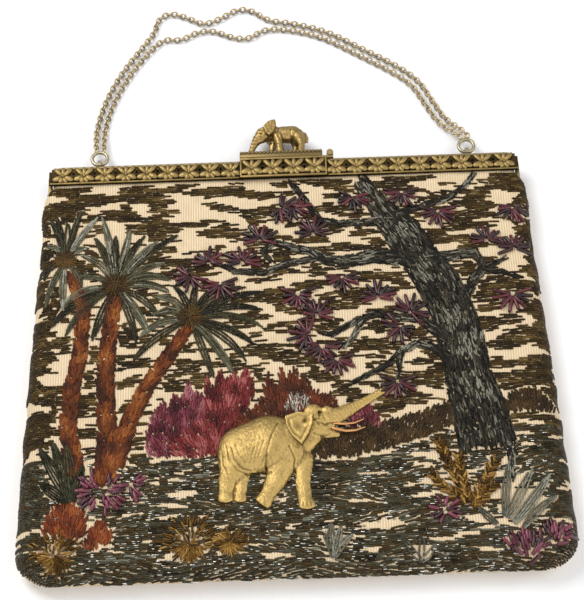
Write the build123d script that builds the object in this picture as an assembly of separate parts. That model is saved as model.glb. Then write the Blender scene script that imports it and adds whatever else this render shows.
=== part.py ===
from build123d import *
import math
import os

# An embroidered evening bag on a hinged brass frame, lying on its back.
# Millimetres. X runs across the bag, Y towards the frame and Z up out of the front.
# The origin is on the back, where the bag rests.

# Frame
frame_width = 184.0        # outside of the front half's arms
frame_top = 90.0           # top of the rails
frame_depth = 11.0         # both halves closed
half_gap = 0.3             # between the closed halves
rail_height = 2.6
rail_bevel = 0.9
corner_radius = 5.0
arm_thick = 1.2
arm_depth = 3.4
arm_gap = 0.3              # front arm to back arm, side by side at the hinge
hinge_drop = 30.0          # rail top to hinge pin
eye_radius = 2.5
pin_radius = 0.8
pin_clearance = 0.1
pin_head_radius = 1.5
pin_head_thick = 0.5

# Pierced gallery under each rail
gallery_height = 6.0
gallery_thick = 0.9
gallery_inset = 0.4        # stands in from the frame's ends
flower_pitch = 8.2
flower_radius = 2.5
flower_proud = 0.45
flower_points = 4
flower_waist = 0.55        # inner corners of a flower, as a share of its radius
leaf_hole = 1.35           # large hole between two flowers, centre to corner
leaf_drop = 0.7            # its middle below the strip's middle
bud_hole = 0.8             # small hole above it
bud_rise = 1.7

# Clasp
clasp_width = 34.0
plate_height = 9.2
plate_thick = 1.0
bar_height = 3.0
bar_lift = 0.3             # clearance over the rails
bar_back = 1.2             # back edge of the lift bar, above the table
bead_count = 16
bead_radius = 0.8
bead_proud = 0.6
knuckle_radius = 1.3
knuckle_x = 18.4
knuckle_length = 2.0
ear_thick = 1.4
ear_gap = 0.2
clasp_pin_radius = 0.6

# Ring lugs and rings
lug_x = 72.8
lug_z = 3.9
lug_thick = 1.4
lug_reach = 4.75           # rail top to the middle of the lug's hole
lug_hole = 1.0
lug_wall = 0.9
lug_neck = 2.4
ring_radius = 3.05         # to the middle of the wire
ring_wire = 0.7

# Cloth bag
bag_height = 172.4         # rail top to the bottom edge
bag_depth = 13.0
bottom_width = 198.0
waist_width = 187.0
bottom_corner = 13.0
front_round = 6.0
back_round = 3.0
slope_length = 28.0        # where the cloth falls from the full depth to the mouth
shoulder_gap = 1.5         # hinge eye to the cloth's shoulder
cloth = 1.3
lining_thick = 0.6
cloth_gap = 0.1            # lining to cloth
frame_clear = 0.2          # cloth to the metal round it
mouth_tuck = 0.6           # front cloth behind the gallery's lower edge

# Stitched fields on the front
stitch = 0.5
dash_width = 2.4
petal_count = 5
bloom_radius = 5.0

# Elephant plaque on the front, standing height and place of its feet
plaque_x = -1.0
plaque_feet = -60.0
plaque_base = 1.5
plaque_relief = 2.6
mound_slant = 40           # slope of the relief's sides, degrees from upright

# Chain
chain_width = 2.5
chain_sides = 4            # the strands are plain tubes
chain_lift = 0.1           # over the table
bend_share = 0.45          # how much of a straight run each bend takes

# Round work with few faces
oval_sides = 14
wire_sides = 5
head_sides = 12

mid_z = frame_depth / 2
front_back = mid_z + half_gap / 2
back_front = mid_z - half_gap / 2
hinge_y = frame_top - hinge_drop
front_half_width = frame_width / 2
back_half_width = front_half_width - arm_thick - arm_gap
gallery_top = frame_top - rail_height
gallery_bottom = gallery_top - gallery_height
bag_bottom = frame_top - bag_height
shoulder_y = hinge_y - eye_radius - shoulder_gap
slope_y = shoulder_y - slope_length
neck_back = gallery_thick + frame_clear
neck_front = frame_depth - neck_back
neck_half = back_half_width - arm_thick - pin_head_thick - frame_clear
bar_top = frame_top + bar_lift + bar_height
knuckle_y = frame_top + bar_lift + bar_height / 2 + knuckle_radius / 3
ring_y = frame_top + lug_reach + ring_radius


def block(x0, x1, y0, y1, z0, z1):
    size = Box(x1 - x0, y1 - y0, z1 - z0, align=(Align.MIN, Align.MIN, Align.MIN))
    return Pos(x0, y0, z0) * size


def outline(*points):
    return Polygon(*points, align=None)


def star(points, outer, inner):
    ring = []
    for k in range(2 * points):
        reach = outer if k % 2 == 0 else inner
        angle = math.pi * k / points
        ring.append((reach * math.cos(angle), reach * math.sin(angle)))
    return outline(*ring)


def kite(x, y, angle, length, width, belly=0.45):
    # a leaf or blade: pointed at both ends, widest part of the way along
    leaf = outline((0, 0), (belly * length, -width / 2), (length, 0), (belly * length, width / 2))
    return Pos(x, y) * Rot(0, 0, angle) * leaf


def oval(x, y, long, high, turn=0.0):
    # a many-sided ellipse
    ring = []
    for k in range(oval_sides):
        angle = 2 * math.pi * k / oval_sides
        ring.append((long * math.cos(angle), high * math.sin(angle)))
    return Pos(x, y) * Rot(0, 0, turn) * outline(*ring)


def stem(*stations):
    # a tapering stalk through (x, y, width) stations
    left = []
    right = []
    for k, (x, y, width) in enumerate(stations):
        before = stations[max(k - 1, 0)]
        after = stations[min(k + 1, len(stations) - 1)]
        run = Vector(after[0] - before[0], after[1] - before[1]).normalized()
        left.append((x - run.Y * width / 2, y + run.X * width / 2))
        right.append((x + run.Y * width / 2, y - run.X * width / 2))
    return outline(*right, *reversed(left))


def joined(shapes):
    total = shapes[0]
    for shape in shapes[1:]:
        total = total + shape
    return total


def round_bar(radius, x, y, z0, z1):
    # measured across the flats
    return Pos(x, y, z0) * extrude(RegularPolygon(radius, head_sides, major_radius=False), z1 - z0)


def cross_disc(radius, x0, x1, y, z):
    disc = Plane.YZ * Pos(y, z) * Circle(radius)
    return Pos(x0, 0, 0) * extrude(disc, x1 - x0)


# Rails: a bar with a bevelled outer edge and two arms that end in hinge eyes
def rail(half_width, z0, z1, arm_z0, arm_z1):
    hoop = Pos(0, (hinge_y + frame_top) / 2) * Rectangle(2 * half_width, hinge_drop)
    hoop = fillet(hoop.vertices().group_by(Axis.Y)[-1], corner_radius)
    below_rail = Pos(0, hinge_y + (hinge_drop - rail_height) / 2)
    window = below_rail * Rectangle(2 * (half_width - arm_thick), hinge_drop - rail_height)
    over_rail = Pos(0, gallery_top + rail_height / 2) * Rectangle(3 * half_width, rail_height)
    bar = Pos(0, 0, z0) * extrude(hoop & over_rail, z1 - z0)
    outer_z = Axis.Z if z1 > mid_z else -Axis.Z
    rim = bar.faces().sort_by(outer_z)[-1].edges().sort_by(Axis.Y)[-1]
    bar = chamfer(rim, rail_bevel)
    arms = Pos(0, 0, arm_z0) * extrude(hoop - window, arm_z1 - arm_z0)
    body = bar + arms
    for side in (-1, 1):
        inner = side * (half_width - arm_thick)
        outer = side * half_width
        eye = cross_disc(eye_radius, min(inner, outer), max(inner, outer), hinge_y, mid_z)
        bore_radius = pin_radius + pin_clearance
        bore = cross_disc(bore_radius, min(inner, outer) - 1, max(inner, outer) + 1, hinge_y, mid_z)
        body = body + eye - bore
    return body


front_rail = rail(front_half_width, front_back, frame_depth, front_back, front_back + arm_depth)
back_rail = rail(back_half_width, 0, back_front, back_front - arm_depth, back_front)


# Hinge pins: a rivet through each pair of eyes
def hinge_pin(side):
    inner = back_half_width - arm_thick
    shank = cross_disc(pin_radius, inner - pin_head_thick, front_half_width, hinge_y, mid_z)
    rivet_face = Plane.YZ * Pos(hinge_y, mid_z) * RegularPolygon(pin_head_radius, head_sides)
    rivet = extrude(rivet_face, pin_head_thick)
    pin = shank + Pos(inner - pin_head_thick, 0, 0) * rivet + Pos(front_half_width, 0, 0) * rivet
    return pin if side > 0 else mirror(pin, about=Plane.YZ)


hinge_pins = Compound(children=[hinge_pin(-1), hinge_pin(1)])


# Galleries: a pierced strip with a row of flowers
def pierced(width, bottom, height, flower_places, with_buds):
    middle = bottom + height / 2
    strip = Pos(0, middle) * Rectangle(width, height)
    leaf = RegularPolygon(leaf_hole, 4)
    bud = Rot(0, 0, 90) * RegularPolygon(bud_hole, 3)
    for x in flower_places[:-1]:
        between = x + flower_pitch / 2
        strip = strip - Pos(between, middle - leaf_drop) * leaf
        if with_buds:
            strip = strip - Pos(between, middle + bud_rise) * bud
    return strip


def flower_row(places, y, z):
    bloom = star(flower_points, flower_radius, flower_radius * flower_waist)
    return [Pos(x, y, z) * extrude(bloom, flower_proud) for x in places]


def row_places(width):
    count = int(width // flower_pitch)
    return [(k - (count - 1) / 2) * flower_pitch for k in range(count)]


gallery_width = frame_width - 2 * gallery_inset
gallery_middle = gallery_bottom + gallery_height / 2
all_places = row_places(gallery_width)
clear_of_clasp = clasp_width / 2 + flower_radius
shown_places = [x for x in all_places if abs(x) > clear_of_clasp]
front_strip = pierced(gallery_width, gallery_bottom, gallery_height, all_places, True)
front_gallery = Pos(0, 0, frame_depth - gallery_thick) * extrude(front_strip, gallery_thick)
front_gallery = front_gallery + flower_row(shown_places, gallery_middle, frame_depth)
back_gallery_width = 2 * back_half_width - 2 * gallery_inset
back_places = row_places(back_gallery_width)
back_strip = pierced(back_gallery_width, gallery_bottom, gallery_height, back_places, False)
back_gallery = extrude(back_strip, gallery_thick)

# Clasp plate, soldered over the middle of the front gallery
plate_bottom = frame_top - plate_height
plate_middle = plate_bottom + plate_height / 2
plate_places = row_places(clasp_width)
plate_strip = pierced(clasp_width, plate_bottom, plate_height, plate_places, True)
clasp_plate = Pos(0, 0, frame_depth) * extrude(plate_strip, plate_thick)
clasp_plate = clasp_plate + flower_row(plate_places, plate_middle, frame_depth + plate_thick)

# Lift bar: lies across both rails, beaded along its front, hinged at its right end
bar_front = frame_depth + plate_thick
bar_end = knuckle_x - knuckle_radius - ear_gap - arm_thick
ears_span = knuckle_length + 2 * ear_gap + 2 * ear_thick
ears_back = frame_depth - ears_span
knuckle_back = ears_back + ear_thick + ear_gap
clasp_bar = block(-clasp_width / 2, bar_end, frame_top + bar_lift, bar_top, bar_back, bar_front)
bead = extrude(RegularPolygon(bead_radius, 4), bead_proud)
bead_step = (clasp_width / 2 + bar_end) / bead_count
for k in range(bead_count):
    bead_x = -clasp_width / 2 + (k + 0.5) * bead_step
    clasp_bar = clasp_bar + Pos(bead_x, bar_top - bead_radius, bar_front) * bead
knuckle_front = knuckle_back + knuckle_length
tab_half = bar_height / 5
tab = block(bar_end, knuckle_x, knuckle_y - tab_half, knuckle_y + tab_half, knuckle_back, knuckle_front)
barrel = round_bar(knuckle_radius, knuckle_x, knuckle_y, knuckle_back, knuckle_front)
pin_bore = clasp_pin_radius + pin_clearance
clasp_bar = clasp_bar + tab + barrel - round_bar(pin_bore, knuckle_x, knuckle_y, knuckle_back, knuckle_front)


# Clasp bracket: two ears on the front rail that hold the pin
def ear(z0):
    left = knuckle_x - knuckle_radius
    post = block(left, left + 2 * knuckle_radius, frame_top, knuckle_y, z0, z0 + ear_thick)
    crown = round_bar(knuckle_radius, knuckle_x, knuckle_y, z0, z0 + ear_thick)
    return post + crown - round_bar(pin_bore, knuckle_x, knuckle_y, z0, z0 + ear_thick)


clasp_bracket = Compound(children=[ear(ears_back), ear(frame_depth - ear_thick)])
clasp_pin = round_bar(clasp_pin_radius, knuckle_x, knuckle_y, ears_back, frame_depth)
pin_front = frame_depth + pin_head_thick
clasp_pin = clasp_pin + round_bar(knuckle_radius, knuckle_x, knuckle_y, frame_depth, pin_front)


# Ring lugs on the back rail, and the rings that hang in them
def lug(x):
    hole_y = frame_top + lug_reach
    neck = Pos(frame_top + lug_reach / 2, lug_z) * Rectangle(lug_reach, lug_neck)
    eye = Pos(hole_y, lug_z) * RegularPolygon(lug_hole + lug_wall, head_sides)
    hole = Pos(hole_y, lug_z) * RegularPolygon(lug_hole, head_sides)
    plate = Plane.YZ * (neck + eye - hole)
    return Pos(x - lug_thick / 2, 0, 0) * extrude(plate, lug_thick)


def carry_ring(x):
    wire = Plane.XZ * Pos(ring_radius, 0) * RegularPolygon(ring_wire, wire_sides)
    return Pos(x, ring_y, lug_z) * revolve(wire, Axis.Z)


ring_lugs = Compound(children=[lug(-lug_x), lug(lug_x)])
carry_rings = Compound(children=[carry_ring(-lug_x), carry_ring(lug_x)])


# Cloth: a flat padded pouch with an open neck between the two rails
def pouch(inset, front_top, back_top, neck_width, rounding):
    waist = waist_width / 2 - inset
    bottom = bottom_width / 2 - inset
    low = bag_bottom + inset
    high = shoulder_y - inset
    plan = outline((-bottom, low), (bottom, low), (waist, high), (-waist, high))
    plan = fillet(plan.vertices().group_by(Axis.Y)[0], bottom_corner - inset)
    side = Plane.YZ * outline(
        (low, inset),
        (slope_y, inset),
        (high, neck_back + inset),
        (high, neck_front - inset),
        (slope_y, bag_depth - inset),
        (low, bag_depth - inset),
    )
    body = extrude(plan, 2 * bag_depth, both=True) & extrude(side, bottom_width, both=True)
    rim = [e for e in body.edges() if not (abs(e.tangent_at(0.5).X) > 0.99 and e.center().Y > low + 1)]
    front_rim = [e for e in rim if e.center().Z > neck_front - inset]
    body = rounding(front_rim, front_round)
    rim = [e for e in body.edges() if not (abs(e.tangent_at(0.5).X) > 0.99 and e.center().Y > low + 1)]
    back_rim = [e for e in rim if e.center().Z < neck_back + inset]
    body = bevelled(back_rim, back_round)
    start = high - cloth
    deep = block(-neck_width, neck_width, start, min(front_top, back_top), neck_back + inset, neck_front - inset)
    tall = block(-neck_width, neck_width, start, back_top, neck_back + inset, mid_z)
    return body + deep + tall


def rounded(edges, radius):
    return fillet(edges, radius)


def bevelled(edges, radius):
    return chamfer(edges, radius / 2)


front_cloth_top = gallery_bottom + mouth_tuck
back_cloth_top = gallery_top - frame_clear
past_mouth = frame_top
lining_inset = cloth + cloth_gap
hollow_inset = lining_inset + lining_thick
mouth_half = neck_half + cloth_gap
cover_hollow = pouch(cloth, past_mouth, past_mouth, mouth_half, bevelled)
cover = pouch(0, front_cloth_top, back_cloth_top, neck_half, rounded) - cover_hollow
lining_skin = pouch(lining_inset, front_cloth_top - cloth, back_cloth_top - cloth, neck_half, bevelled)
lining = lining_skin - pouch(hollow_inset, past_mouth, past_mouth, mouth_half, bevelled)

# Stitched picture: each motif is a thin field that lies on the cloth's front
stitch_top = gallery_bottom - frame_clear
skin = pouch(-stitch, stitch_top, stitch_top, neck_half - frame_clear, rounded)
skin = skin - pouch(0, past_mouth, past_mouth, neck_half, rounded)
skin = skin & block(-bottom_width, bottom_width, bag_bottom - cloth, stitch_top, mid_z, 2 * bag_depth)


def on_cloth(sketch):
    return extrude(sketch, 2 * bag_depth, dir=(0, 0, 1)) & skin


def fan(x, y, length, width, angles):
    return joined([kite(x, y, angle, length, width) for angle in angles])


def crown(x, y, length, width, count):
    # palm fronds all round, the upper ones longest
    leaves = []
    for k in range(count):
        angle = 360 * (k + 0.4) / count
        reach = length * (0.85 + 0.15 * math.sin(math.radians(angle)))
        leaves.append(kite(x, y, angle, reach, width, 0.55))
    return joined(leaves)


def dashes(rows):
    # one row is its height, then the middle of each dash and its length
    return joined([kite(x - long / 2, y, 0, long, dash_width, 0.5) for y, *row in rows for x, long in row])


palm_trunks = joined([
    stem((-81, 38, 5), (-76.3, 24, 6), (-77.1, 5, 6.5), (-80.6, -24, 7), (-77.6, -43, 8)),
    stem((-64.6, 29, 6.5), (-67.2, 2, 7), (-66.6, -24, 7.5), (-66.8, -46, 9)),
    stem((-36, 16, 5.5), (-52, -9, 7), (-58.5, -23, 7.5), (-63.5, -40, 8)),
])
palm_fronds = joined([
    fan(-86.5, 42, 7, 3.2, (95, 140, 185, 230)),
    crown(-65, 35, 24, 4.6, 11),
    crown(-37.5, 20, 22, 4.2, 10),
])
tree = joined([
    stem(
        (69.5, -38, 18), (67.3, -23, 18), (64.7, -9, 14.5), (62, 10, 15),
        (55, 30, 14.5), (45, 53, 14), (36, 67, 8), (29.5, 77, 6),
    ),
    stem((42, 60, 4), (21, 59.5, 3), (13.3, 61.3, 2.8), (6, 74, 2)),
    stem((49, 42, 6), (33, 43.5, 5), (15, 42.4, 4), (-9, 37.5, 3), (-22, 40, 2)),
    stem((42, 63, 3), (56, 67, 2.8), (70, 74.5, 2)),
    stem((54, 41, 5), (63, 42.7, 4.5), (71, 43.5, 4), (73, 34, 2)),
    stem((63, 19, 5), (70.4, 32, 3.5), (82, 40.2, 2)),
    stem((59, 5, 4.5), (48.6, 14.7, 3.5), (32.7, 17, 3), (12.6, 9.5, 2)),
    stem((61, -6, 4), (47, 4, 3), (38, -2, 2.5), (21.5, -11.3, 1.5)),
])
bloom_places = [
    (-17, 42), (-30, 43), (-26, 32), (2, 26), (10, 16), (17, -1), (21, 34), (35, 25), (46, 19), (83, 24),
    (39, -12), (84, 44), (0, 66), (-10, 54), (20, 71), (46, 73), (60, 60), (84, 63),
]
bead_flowers = joined([
    Pos(x, y) * Rot(0, 0, 40 * k) * star(petal_count, bloom_radius, bloom_radius / 4)
    for k, (x, y) in enumerate(bloom_places)
])
plum_bush = joined([
    outline(
        (-54, -38), (-30, -38), (-30, -18), (-34, -20), (-37, -8), (-40, -18), (-43, -12), (-46, -25), (-51, -24)
    ),
    outline((19, -29), (32, -27), (33, -19), (29, -21), (26, -17), (22, -20)),
])
red_bush = outline(
    (-30, -38), (-8, -38), (-8, -16), (-12, -13), (-16, -6), (-19, -13), (-23, -12), (-26, -4), (-29, -14)
)
brown_bush = outline(
    (-8, -38), (12, -38), (14, -18), (10, -16), (8, -8), (3, -13), (1, -5), (-3, -3), (-6, -13)
)
far_bank = joined([
    outline((5, -41), (8.6, -32), (23, -28.8), (38.7, -26), (58.4, -19.5), (59, -28), (34.6, -36.5), (20, -40)),
    outline((74, -24), (76.4, -20), (81.5, -16.4), (86.4, -16), (91, -18.4), (94, -24)),
])
grass_angles = (42, 75, 108, 140)
gold_grass = joined([
    fan(-83, -76, 12, 2.6, grass_angles),
    fan(-36, -75.5, 15, 3.0, grass_angles),
    fan(60, -62, 26, 3.4, grass_angles),
])
green_blades = joined([fan(-80, -53, 20, 3.6, (60, 80, 100, 120)), fan(77, -65, 19, 3.2, grass_angles)])
plum_beads = joined([fan(-66, -54, 14, 3.0, grass_angles), fan(79, -76, 15, 3.0, grass_angles)])
rocks = joined([
    outline((-90, -68), (-74, -68), (-75, -60), (-80, -54), (-87, -58)),
    outline((-73, -71), (-63, -71), (-65, -63), (-70, -62)),
])
water_dashes = dashes([
    (-43, (-43, 26), (32, 40)),
    (-49, (-45, 24), (28, 34)),
    (-56, (-46, 24), (28, 30)),
    (-63, (-47, 24), (22, 36)),
    (-70, (4, 30),),
    (-77, (-60, 18), (40, 32)),
])
sky_dashes = dashes([
    (77, (-70, 26), (-30, 24)),
    (70, (-56, 24), (-22, 26)),
    (62, (-34, 26),),
    (20, (-14, 20),),
    (4, (-8, 20), (82, 16)),
    (-8, (82, 16),),
])


# Elephant plaque: a pressed relief, built up in layers, trunk raised to the right
def mound(x, y, long, high, z0, rise):
    return Pos(0, 0, z0) * extrude(oval(x, y, long, high), rise, taper=mound_slant)


def elephant_outline():
    barrel = oval(-10, 24, 16.5, 13) + oval(4, 27, 11, 10) + oval(13, 32, 8.5, 8)
    hind = outline((-25, 24), (-24.5, 3), (-15, 3), (-12, 20))
    near = outline((-14, 20), (-13, 0), (-6, 0), (-2, 18))
    far = outline((-2, 20), (2, 0), (9, 0), (9, 22))
    trunk = stem((14, 33, 9), (22, 35.5, 6), (28, 39.5, 4.4), (34.5, 45, 2.8))
    jaw = kite(12, 29, -12, 13, 4.5)
    return barrel + hind + near + far + trunk + jaw


plaque_place = Pos(plaque_x, plaque_feet)
plaque_top = bag_depth + plaque_base
footprint = plaque_place * elephant_outline()
plaque = Pos(0, 0, bag_depth) * extrude(footprint, plaque_base, dir=(0, 0, 1))
for x, y, long, high, rise in (
    (-10, 25, 14, 10.5, plaque_relief),
    (13, 32, 6.5, 6, plaque_relief),
    (-9.5, 10, 3, 8, plaque_relief / 2),
    (-19.5, 12, 4, 8, plaque_relief / 2),
):
    plaque = plaque + mound(plaque_x + x, plaque_feet + y, long, high, plaque_top, rise)
ear_x = plaque_x + 3
ear_y = plaque_feet + 29
plaque = plaque + mound(ear_x, ear_y, 6, 8, plaque_top, plaque_relief)
tusk_line = stem((18, 32, 2), (23, 30.5, 1.6), (28, 32.5, 0.8))
tusks = plaque_place * (tusk_line + Pos(0, -3) * tusk_line) - footprint
elephant_tusks = Pos(0, 0, bag_depth) * extrude(tusks, plaque_base, dir=(0, 0, 1))

# Motifs that meet keep to their own ground: the first named lies on top
motifs = {
    "bead_flowers": bead_flowers,
    "palm_fronds": palm_fronds,
    "palm_trunks": palm_trunks,
    "flowering_tree": tree,
    "plum_beads": plum_beads,
    "gold_grass": gold_grass,
    "green_blades": green_blades,
    "rocks": rocks,
    "far_bank": far_bank,
    "red_bush": red_bush,
    "plum_bush": plum_bush,
    "brown_bush": brown_bush,
    "water_dashes": water_dashes,
    "sky_dashes": sky_dashes,
}
taken = footprint + tusks
stitched = {}
for name, motif in motifs.items():
    stitched[name] = on_cloth(motif - taken)
    taken = taken + motif


# Clasp elephant: a cast figure standing on the lift bar, head down to the left
figure_z = (bar_back + bar_front) / 2


def slab(sketch, z0, z1):
    return Pos(0, bar_top, figure_z + z0) * extrude(sketch, z1 - z0, dir=(0, 0, 1))


flank = oval(1.5, 9, 8.5, 5.2)
brow = oval(-8, 9.5, 4.4, 4.4)
snout = stem((-9.5, 9, 5), (-12.3, 5.5, 2.8), (-12.9, 2.5, 2.2), (-15, 0.9, 1.6))
fore_leg = outline((-5.5, 8), (-5, 0), (-1, 0), (-0.5, 8))
hind_leg = outline((3.5, 8), (4.5, 0), (8.3, 0), (9.6, 8))
clasp_elephant = slab(flank, -3.6, 3.6) + slab(brow + snout, -2.6, 2.6)
clasp_elephant = clasp_elephant + slab(fore_leg, 0.6, 3.4) + slab(hind_leg, 0.6, 3.4)
clasp_elephant = clasp_elephant + slab(fore_leg, -3.4, -0.6) + slab(hind_leg, -3.4, -0.6)
ear_flap = oval(-3.6, 11, 2.8, 4, -15)
clasp_elephant = clasp_elephant + slab(ear_flap, -4.2, 4.2)


# Chain: two strands that leave the left ring, cross a loose bunch and end in the right ring
def strand(points):
    corners = [Vector(*p) for p in points]
    radii = []
    for a, b, c in zip(corners, corners[1:], corners[2:]):
        half_turn = math.radians((b - a).get_angle(c - b)) / 2
        radii.append(bend_share * min((b - a).length, (c - b).length) / math.tan(half_turn))
    path = FilletPolyline(*corners, radius=radii)
    section = Plane(origin=path @ 0, z_dir=path % 0) * RegularPolygon(chain_width / 2, chain_sides)
    tube = sweep(section, path=path)
    print("least radius", round(min(radii), 1), "length", round(path.length, 1))
    print("volume over section times length", round(tube.volume / (section.area * path.length), 4))
    return tube


lie = chain_width / 2 + chain_lift
outer_route = [
    (-74.3, 101.8, 3.9), (-74.6, 107, 3), (-74.7, 113.8, lie), (-71.6, 127.2, lie), (-64.6, 142.6, lie),
    (-56.5, 154.5, lie), (-51.4, 162.4, lie), (-50.6, 168.4, lie), (-45.6, 172.4, lie), (-37.9, 169.4, lie),
    (-31.4, 165.2, lie), (-24.4, 168, lie), (-17, 173.2, lie), (-10.2, 171.8, lie), (-4.6, 166.2, lie),
    (6, 164.6, lie), (20.4, 159.6, lie), (34, 150, lie), (47, 141.4, lie), (56.2, 133.2, lie),
    (60.4, 124, lie), (66.2, 112, lie), (71.8, 107, 2.7), (74, 102.3, 3.9),
]
inner_route = [
    (-71.3, 101.8, 3.9), (-71.4, 107, 3), (-71.4, 113.6, lie), (-68.5, 126.1, lie), (-61.6, 141, lie),
    (-53.4, 152.8, lie), (-47.8, 158.6, lie), (-40.6, 157.4, lie), (-34.6, 161.4, lie), (-27.4, 162.4, lie),
    (-20, 158.2, lie), (-12.4, 156.8, lie), (-6.6, 162, lie), (4.6, 161.4, lie), (18.8, 156.4, lie),
    (32.2, 147, lie), (45, 138.4, lie), (53.6, 130.8, lie), (57.6, 122, lie), (63.2, 110.6, lie),
    (68.5, 106, 2.7), (71.1, 101.9, 3.9),
]

parts = {
    "embroidered_cover": cover,
    "lining": lining,
    "back_rail": back_rail,
    "back_gallery": back_gallery,
    "front_rail": front_rail,
    "front_gallery": front_gallery,
    "hinge_pins": hinge_pins,
    "ring_lugs": ring_lugs,
    "carry_rings": carry_rings,
    "clasp_plate": clasp_plate,
    "clasp_bracket": clasp_bracket,
    "clasp_pin": clasp_pin,
    "clasp_bar": clasp_bar,
    "clasp_elephant": clasp_elephant,
    "elephant_plaque": plaque,
    "elephant_tusks": elephant_tusks,
    **stitched,
    "chain_outer": strand(outer_route),
    "chain_inner": strand(inner_route),
}

os.makedirs("parts", exist_ok=True)
for name, solid in parts.items():
    export_step(solid, f"parts/{name}.step")
    print(name, round(solid.volume, 1))
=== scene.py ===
import bpy
import bmesh
import math
import random
from mathutils import Matrix, Vector, noise
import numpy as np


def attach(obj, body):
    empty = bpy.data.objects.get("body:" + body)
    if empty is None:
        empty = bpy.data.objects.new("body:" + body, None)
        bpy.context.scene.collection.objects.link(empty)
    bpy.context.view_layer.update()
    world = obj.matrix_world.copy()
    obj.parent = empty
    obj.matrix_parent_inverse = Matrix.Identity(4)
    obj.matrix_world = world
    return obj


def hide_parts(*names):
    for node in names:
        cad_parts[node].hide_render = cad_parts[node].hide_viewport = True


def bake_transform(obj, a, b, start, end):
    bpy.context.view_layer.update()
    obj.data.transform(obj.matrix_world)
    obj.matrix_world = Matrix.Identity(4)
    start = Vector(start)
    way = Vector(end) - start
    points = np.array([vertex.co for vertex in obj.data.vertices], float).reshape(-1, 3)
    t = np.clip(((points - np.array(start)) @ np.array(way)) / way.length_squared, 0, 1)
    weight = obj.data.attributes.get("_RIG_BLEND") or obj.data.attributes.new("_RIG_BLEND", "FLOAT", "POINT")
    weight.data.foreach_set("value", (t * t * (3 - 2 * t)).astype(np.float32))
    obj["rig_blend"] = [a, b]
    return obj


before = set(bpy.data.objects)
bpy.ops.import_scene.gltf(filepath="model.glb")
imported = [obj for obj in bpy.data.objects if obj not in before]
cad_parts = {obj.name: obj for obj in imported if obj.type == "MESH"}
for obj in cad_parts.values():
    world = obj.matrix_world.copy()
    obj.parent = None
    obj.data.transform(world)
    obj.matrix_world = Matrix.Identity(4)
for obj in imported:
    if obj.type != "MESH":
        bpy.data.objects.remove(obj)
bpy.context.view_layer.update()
mm = 0.001
toMetres = Matrix.Scale(mm, 4)
goldenTurn = 137.5  # degrees from one spoke of a spiral to the next
dice = random.Random(7)
print("frame loaded")


def paint(r, g, b):  # a screen colour, 0 to 255, in Blender's linear scale
    shares = [c / 255 for c in (r, g, b)]
    return (*[s / 12.92 if s < 0.04045 else ((s + 0.055) / 1.055) ** 2.4 for s in shares], 1.0)


def clamp(value, low=0.0, high=1.0):
    return min(max(value, low), high)


def ease(low, high, value):
    t = clamp((value - low) / (high - low))
    return t * t * (3 - 2 * t)


def bearing(angle):
    return Vector((math.cos(math.radians(angle)), math.sin(math.radians(angle))))


def angleOf(dx, dy):
    return math.degrees(math.atan2(dy, dx))


def waver(x, y, layer):  # smooth noise, about -1 to 1
    return noise.noise(Vector((x, y, layer)))


def makePiece(bm, name, material, smooth=True):
    mesh = bpy.data.meshes.new(name)
    bm.to_mesh(mesh)
    bm.free()
    if smooth:
        mesh.shade_smooth()
    mesh.materials.append(material)
    piece = bpy.data.objects.new(name, mesh)
    bpy.context.scene.collection.objects.link(piece)
    return piece


def bakeModifiers(piece):
    bpy.context.view_layer.update()
    seen = piece.evaluated_get(bpy.context.evaluated_depsgraph_get())
    mesh = bpy.data.meshes.new_from_object(seen)
    piece.modifiers.clear()
    old = piece.data
    piece.data = mesh
    bpy.data.meshes.remove(old)


carrier = bpy.data.meshes.new("carrier")


def repeatShape(target, shape, matrix, shade=None):
    copy = shape.copy()
    copy.transform(matrix)
    if shade is not None:
        layer = copy.verts.layers.float["shade"]
        for v in copy.verts:
            v[layer] = shade
    copy.to_mesh(carrier)
    copy.free()
    target.from_mesh(carrier)


# camera at the photograph's angle, its focal length and picture height in pixels
camera = {"target": (1.502, 32.302, 0.0), "distance": 700.0, "elevation": 60.0, "roll": -2.032,
          "focal": 1835.9, "imageHigh": 600}


def addCamera():
    tilt = math.radians(camera["elevation"])
    roll = math.radians(camera["roll"])
    forward = Vector((0, math.cos(tilt), -math.sin(tilt)))
    up = Vector((0, math.sin(tilt), math.cos(tilt)))
    right = Vector((1, 0, 0))
    turnedRight = right * math.cos(roll) + up * math.sin(roll)
    turnedUp = up * math.cos(roll) - right * math.sin(roll)
    data = bpy.data.cameras.new("photoCamera")
    data.sensor_fit = "VERTICAL"
    data.sensor_height = 36.0
    data.lens = camera["focal"] * data.sensor_height / camera["imageHigh"]
    data.clip_start = 0.01
    eye = bpy.data.objects.new("photoCamera", data)
    place = (Vector(camera["target"]) - forward * camera["distance"]) * mm
    axes = Matrix((turnedRight, turnedUp, -forward)).transposed().to_4x4()
    eye.matrix_world = Matrix.Translation(place) @ axes
    bpy.context.scene.collection.objects.link(eye)
    bpy.context.scene.camera = eye


addCamera()
print("camera set")


# materials
def newGroup(name, inputs, outputs):
    group = bpy.data.node_groups.new(name, "ShaderNodeTree")
    for sockets, way in ((inputs, "INPUT"), (outputs, "OUTPUT")):
        for label, kind in sockets:
            group.interface.new_socket(label, in_out=way, socket_type="NodeSocket" + kind)
    return group, group.nodes.new("NodeGroupInput"), group.nodes.new("NodeGroupOutput")


def setInputs(node, values):
    for label, value in values.items():
        node.inputs[label].default_value = value


def addNode(tree, kind, inputs=None, **settings):
    node = tree.nodes.new("ShaderNode" + kind)
    for key, value in settings.items():
        setattr(node, key, value)
    setInputs(node, inputs or {})
    return node


def connect(tree, *links):  # each link is a node, its output, the next node and its input
    for source, outlet, target, inlet in links:
        tree.links.new(source.outputs[outlet], target.inputs[inlet])


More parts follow.
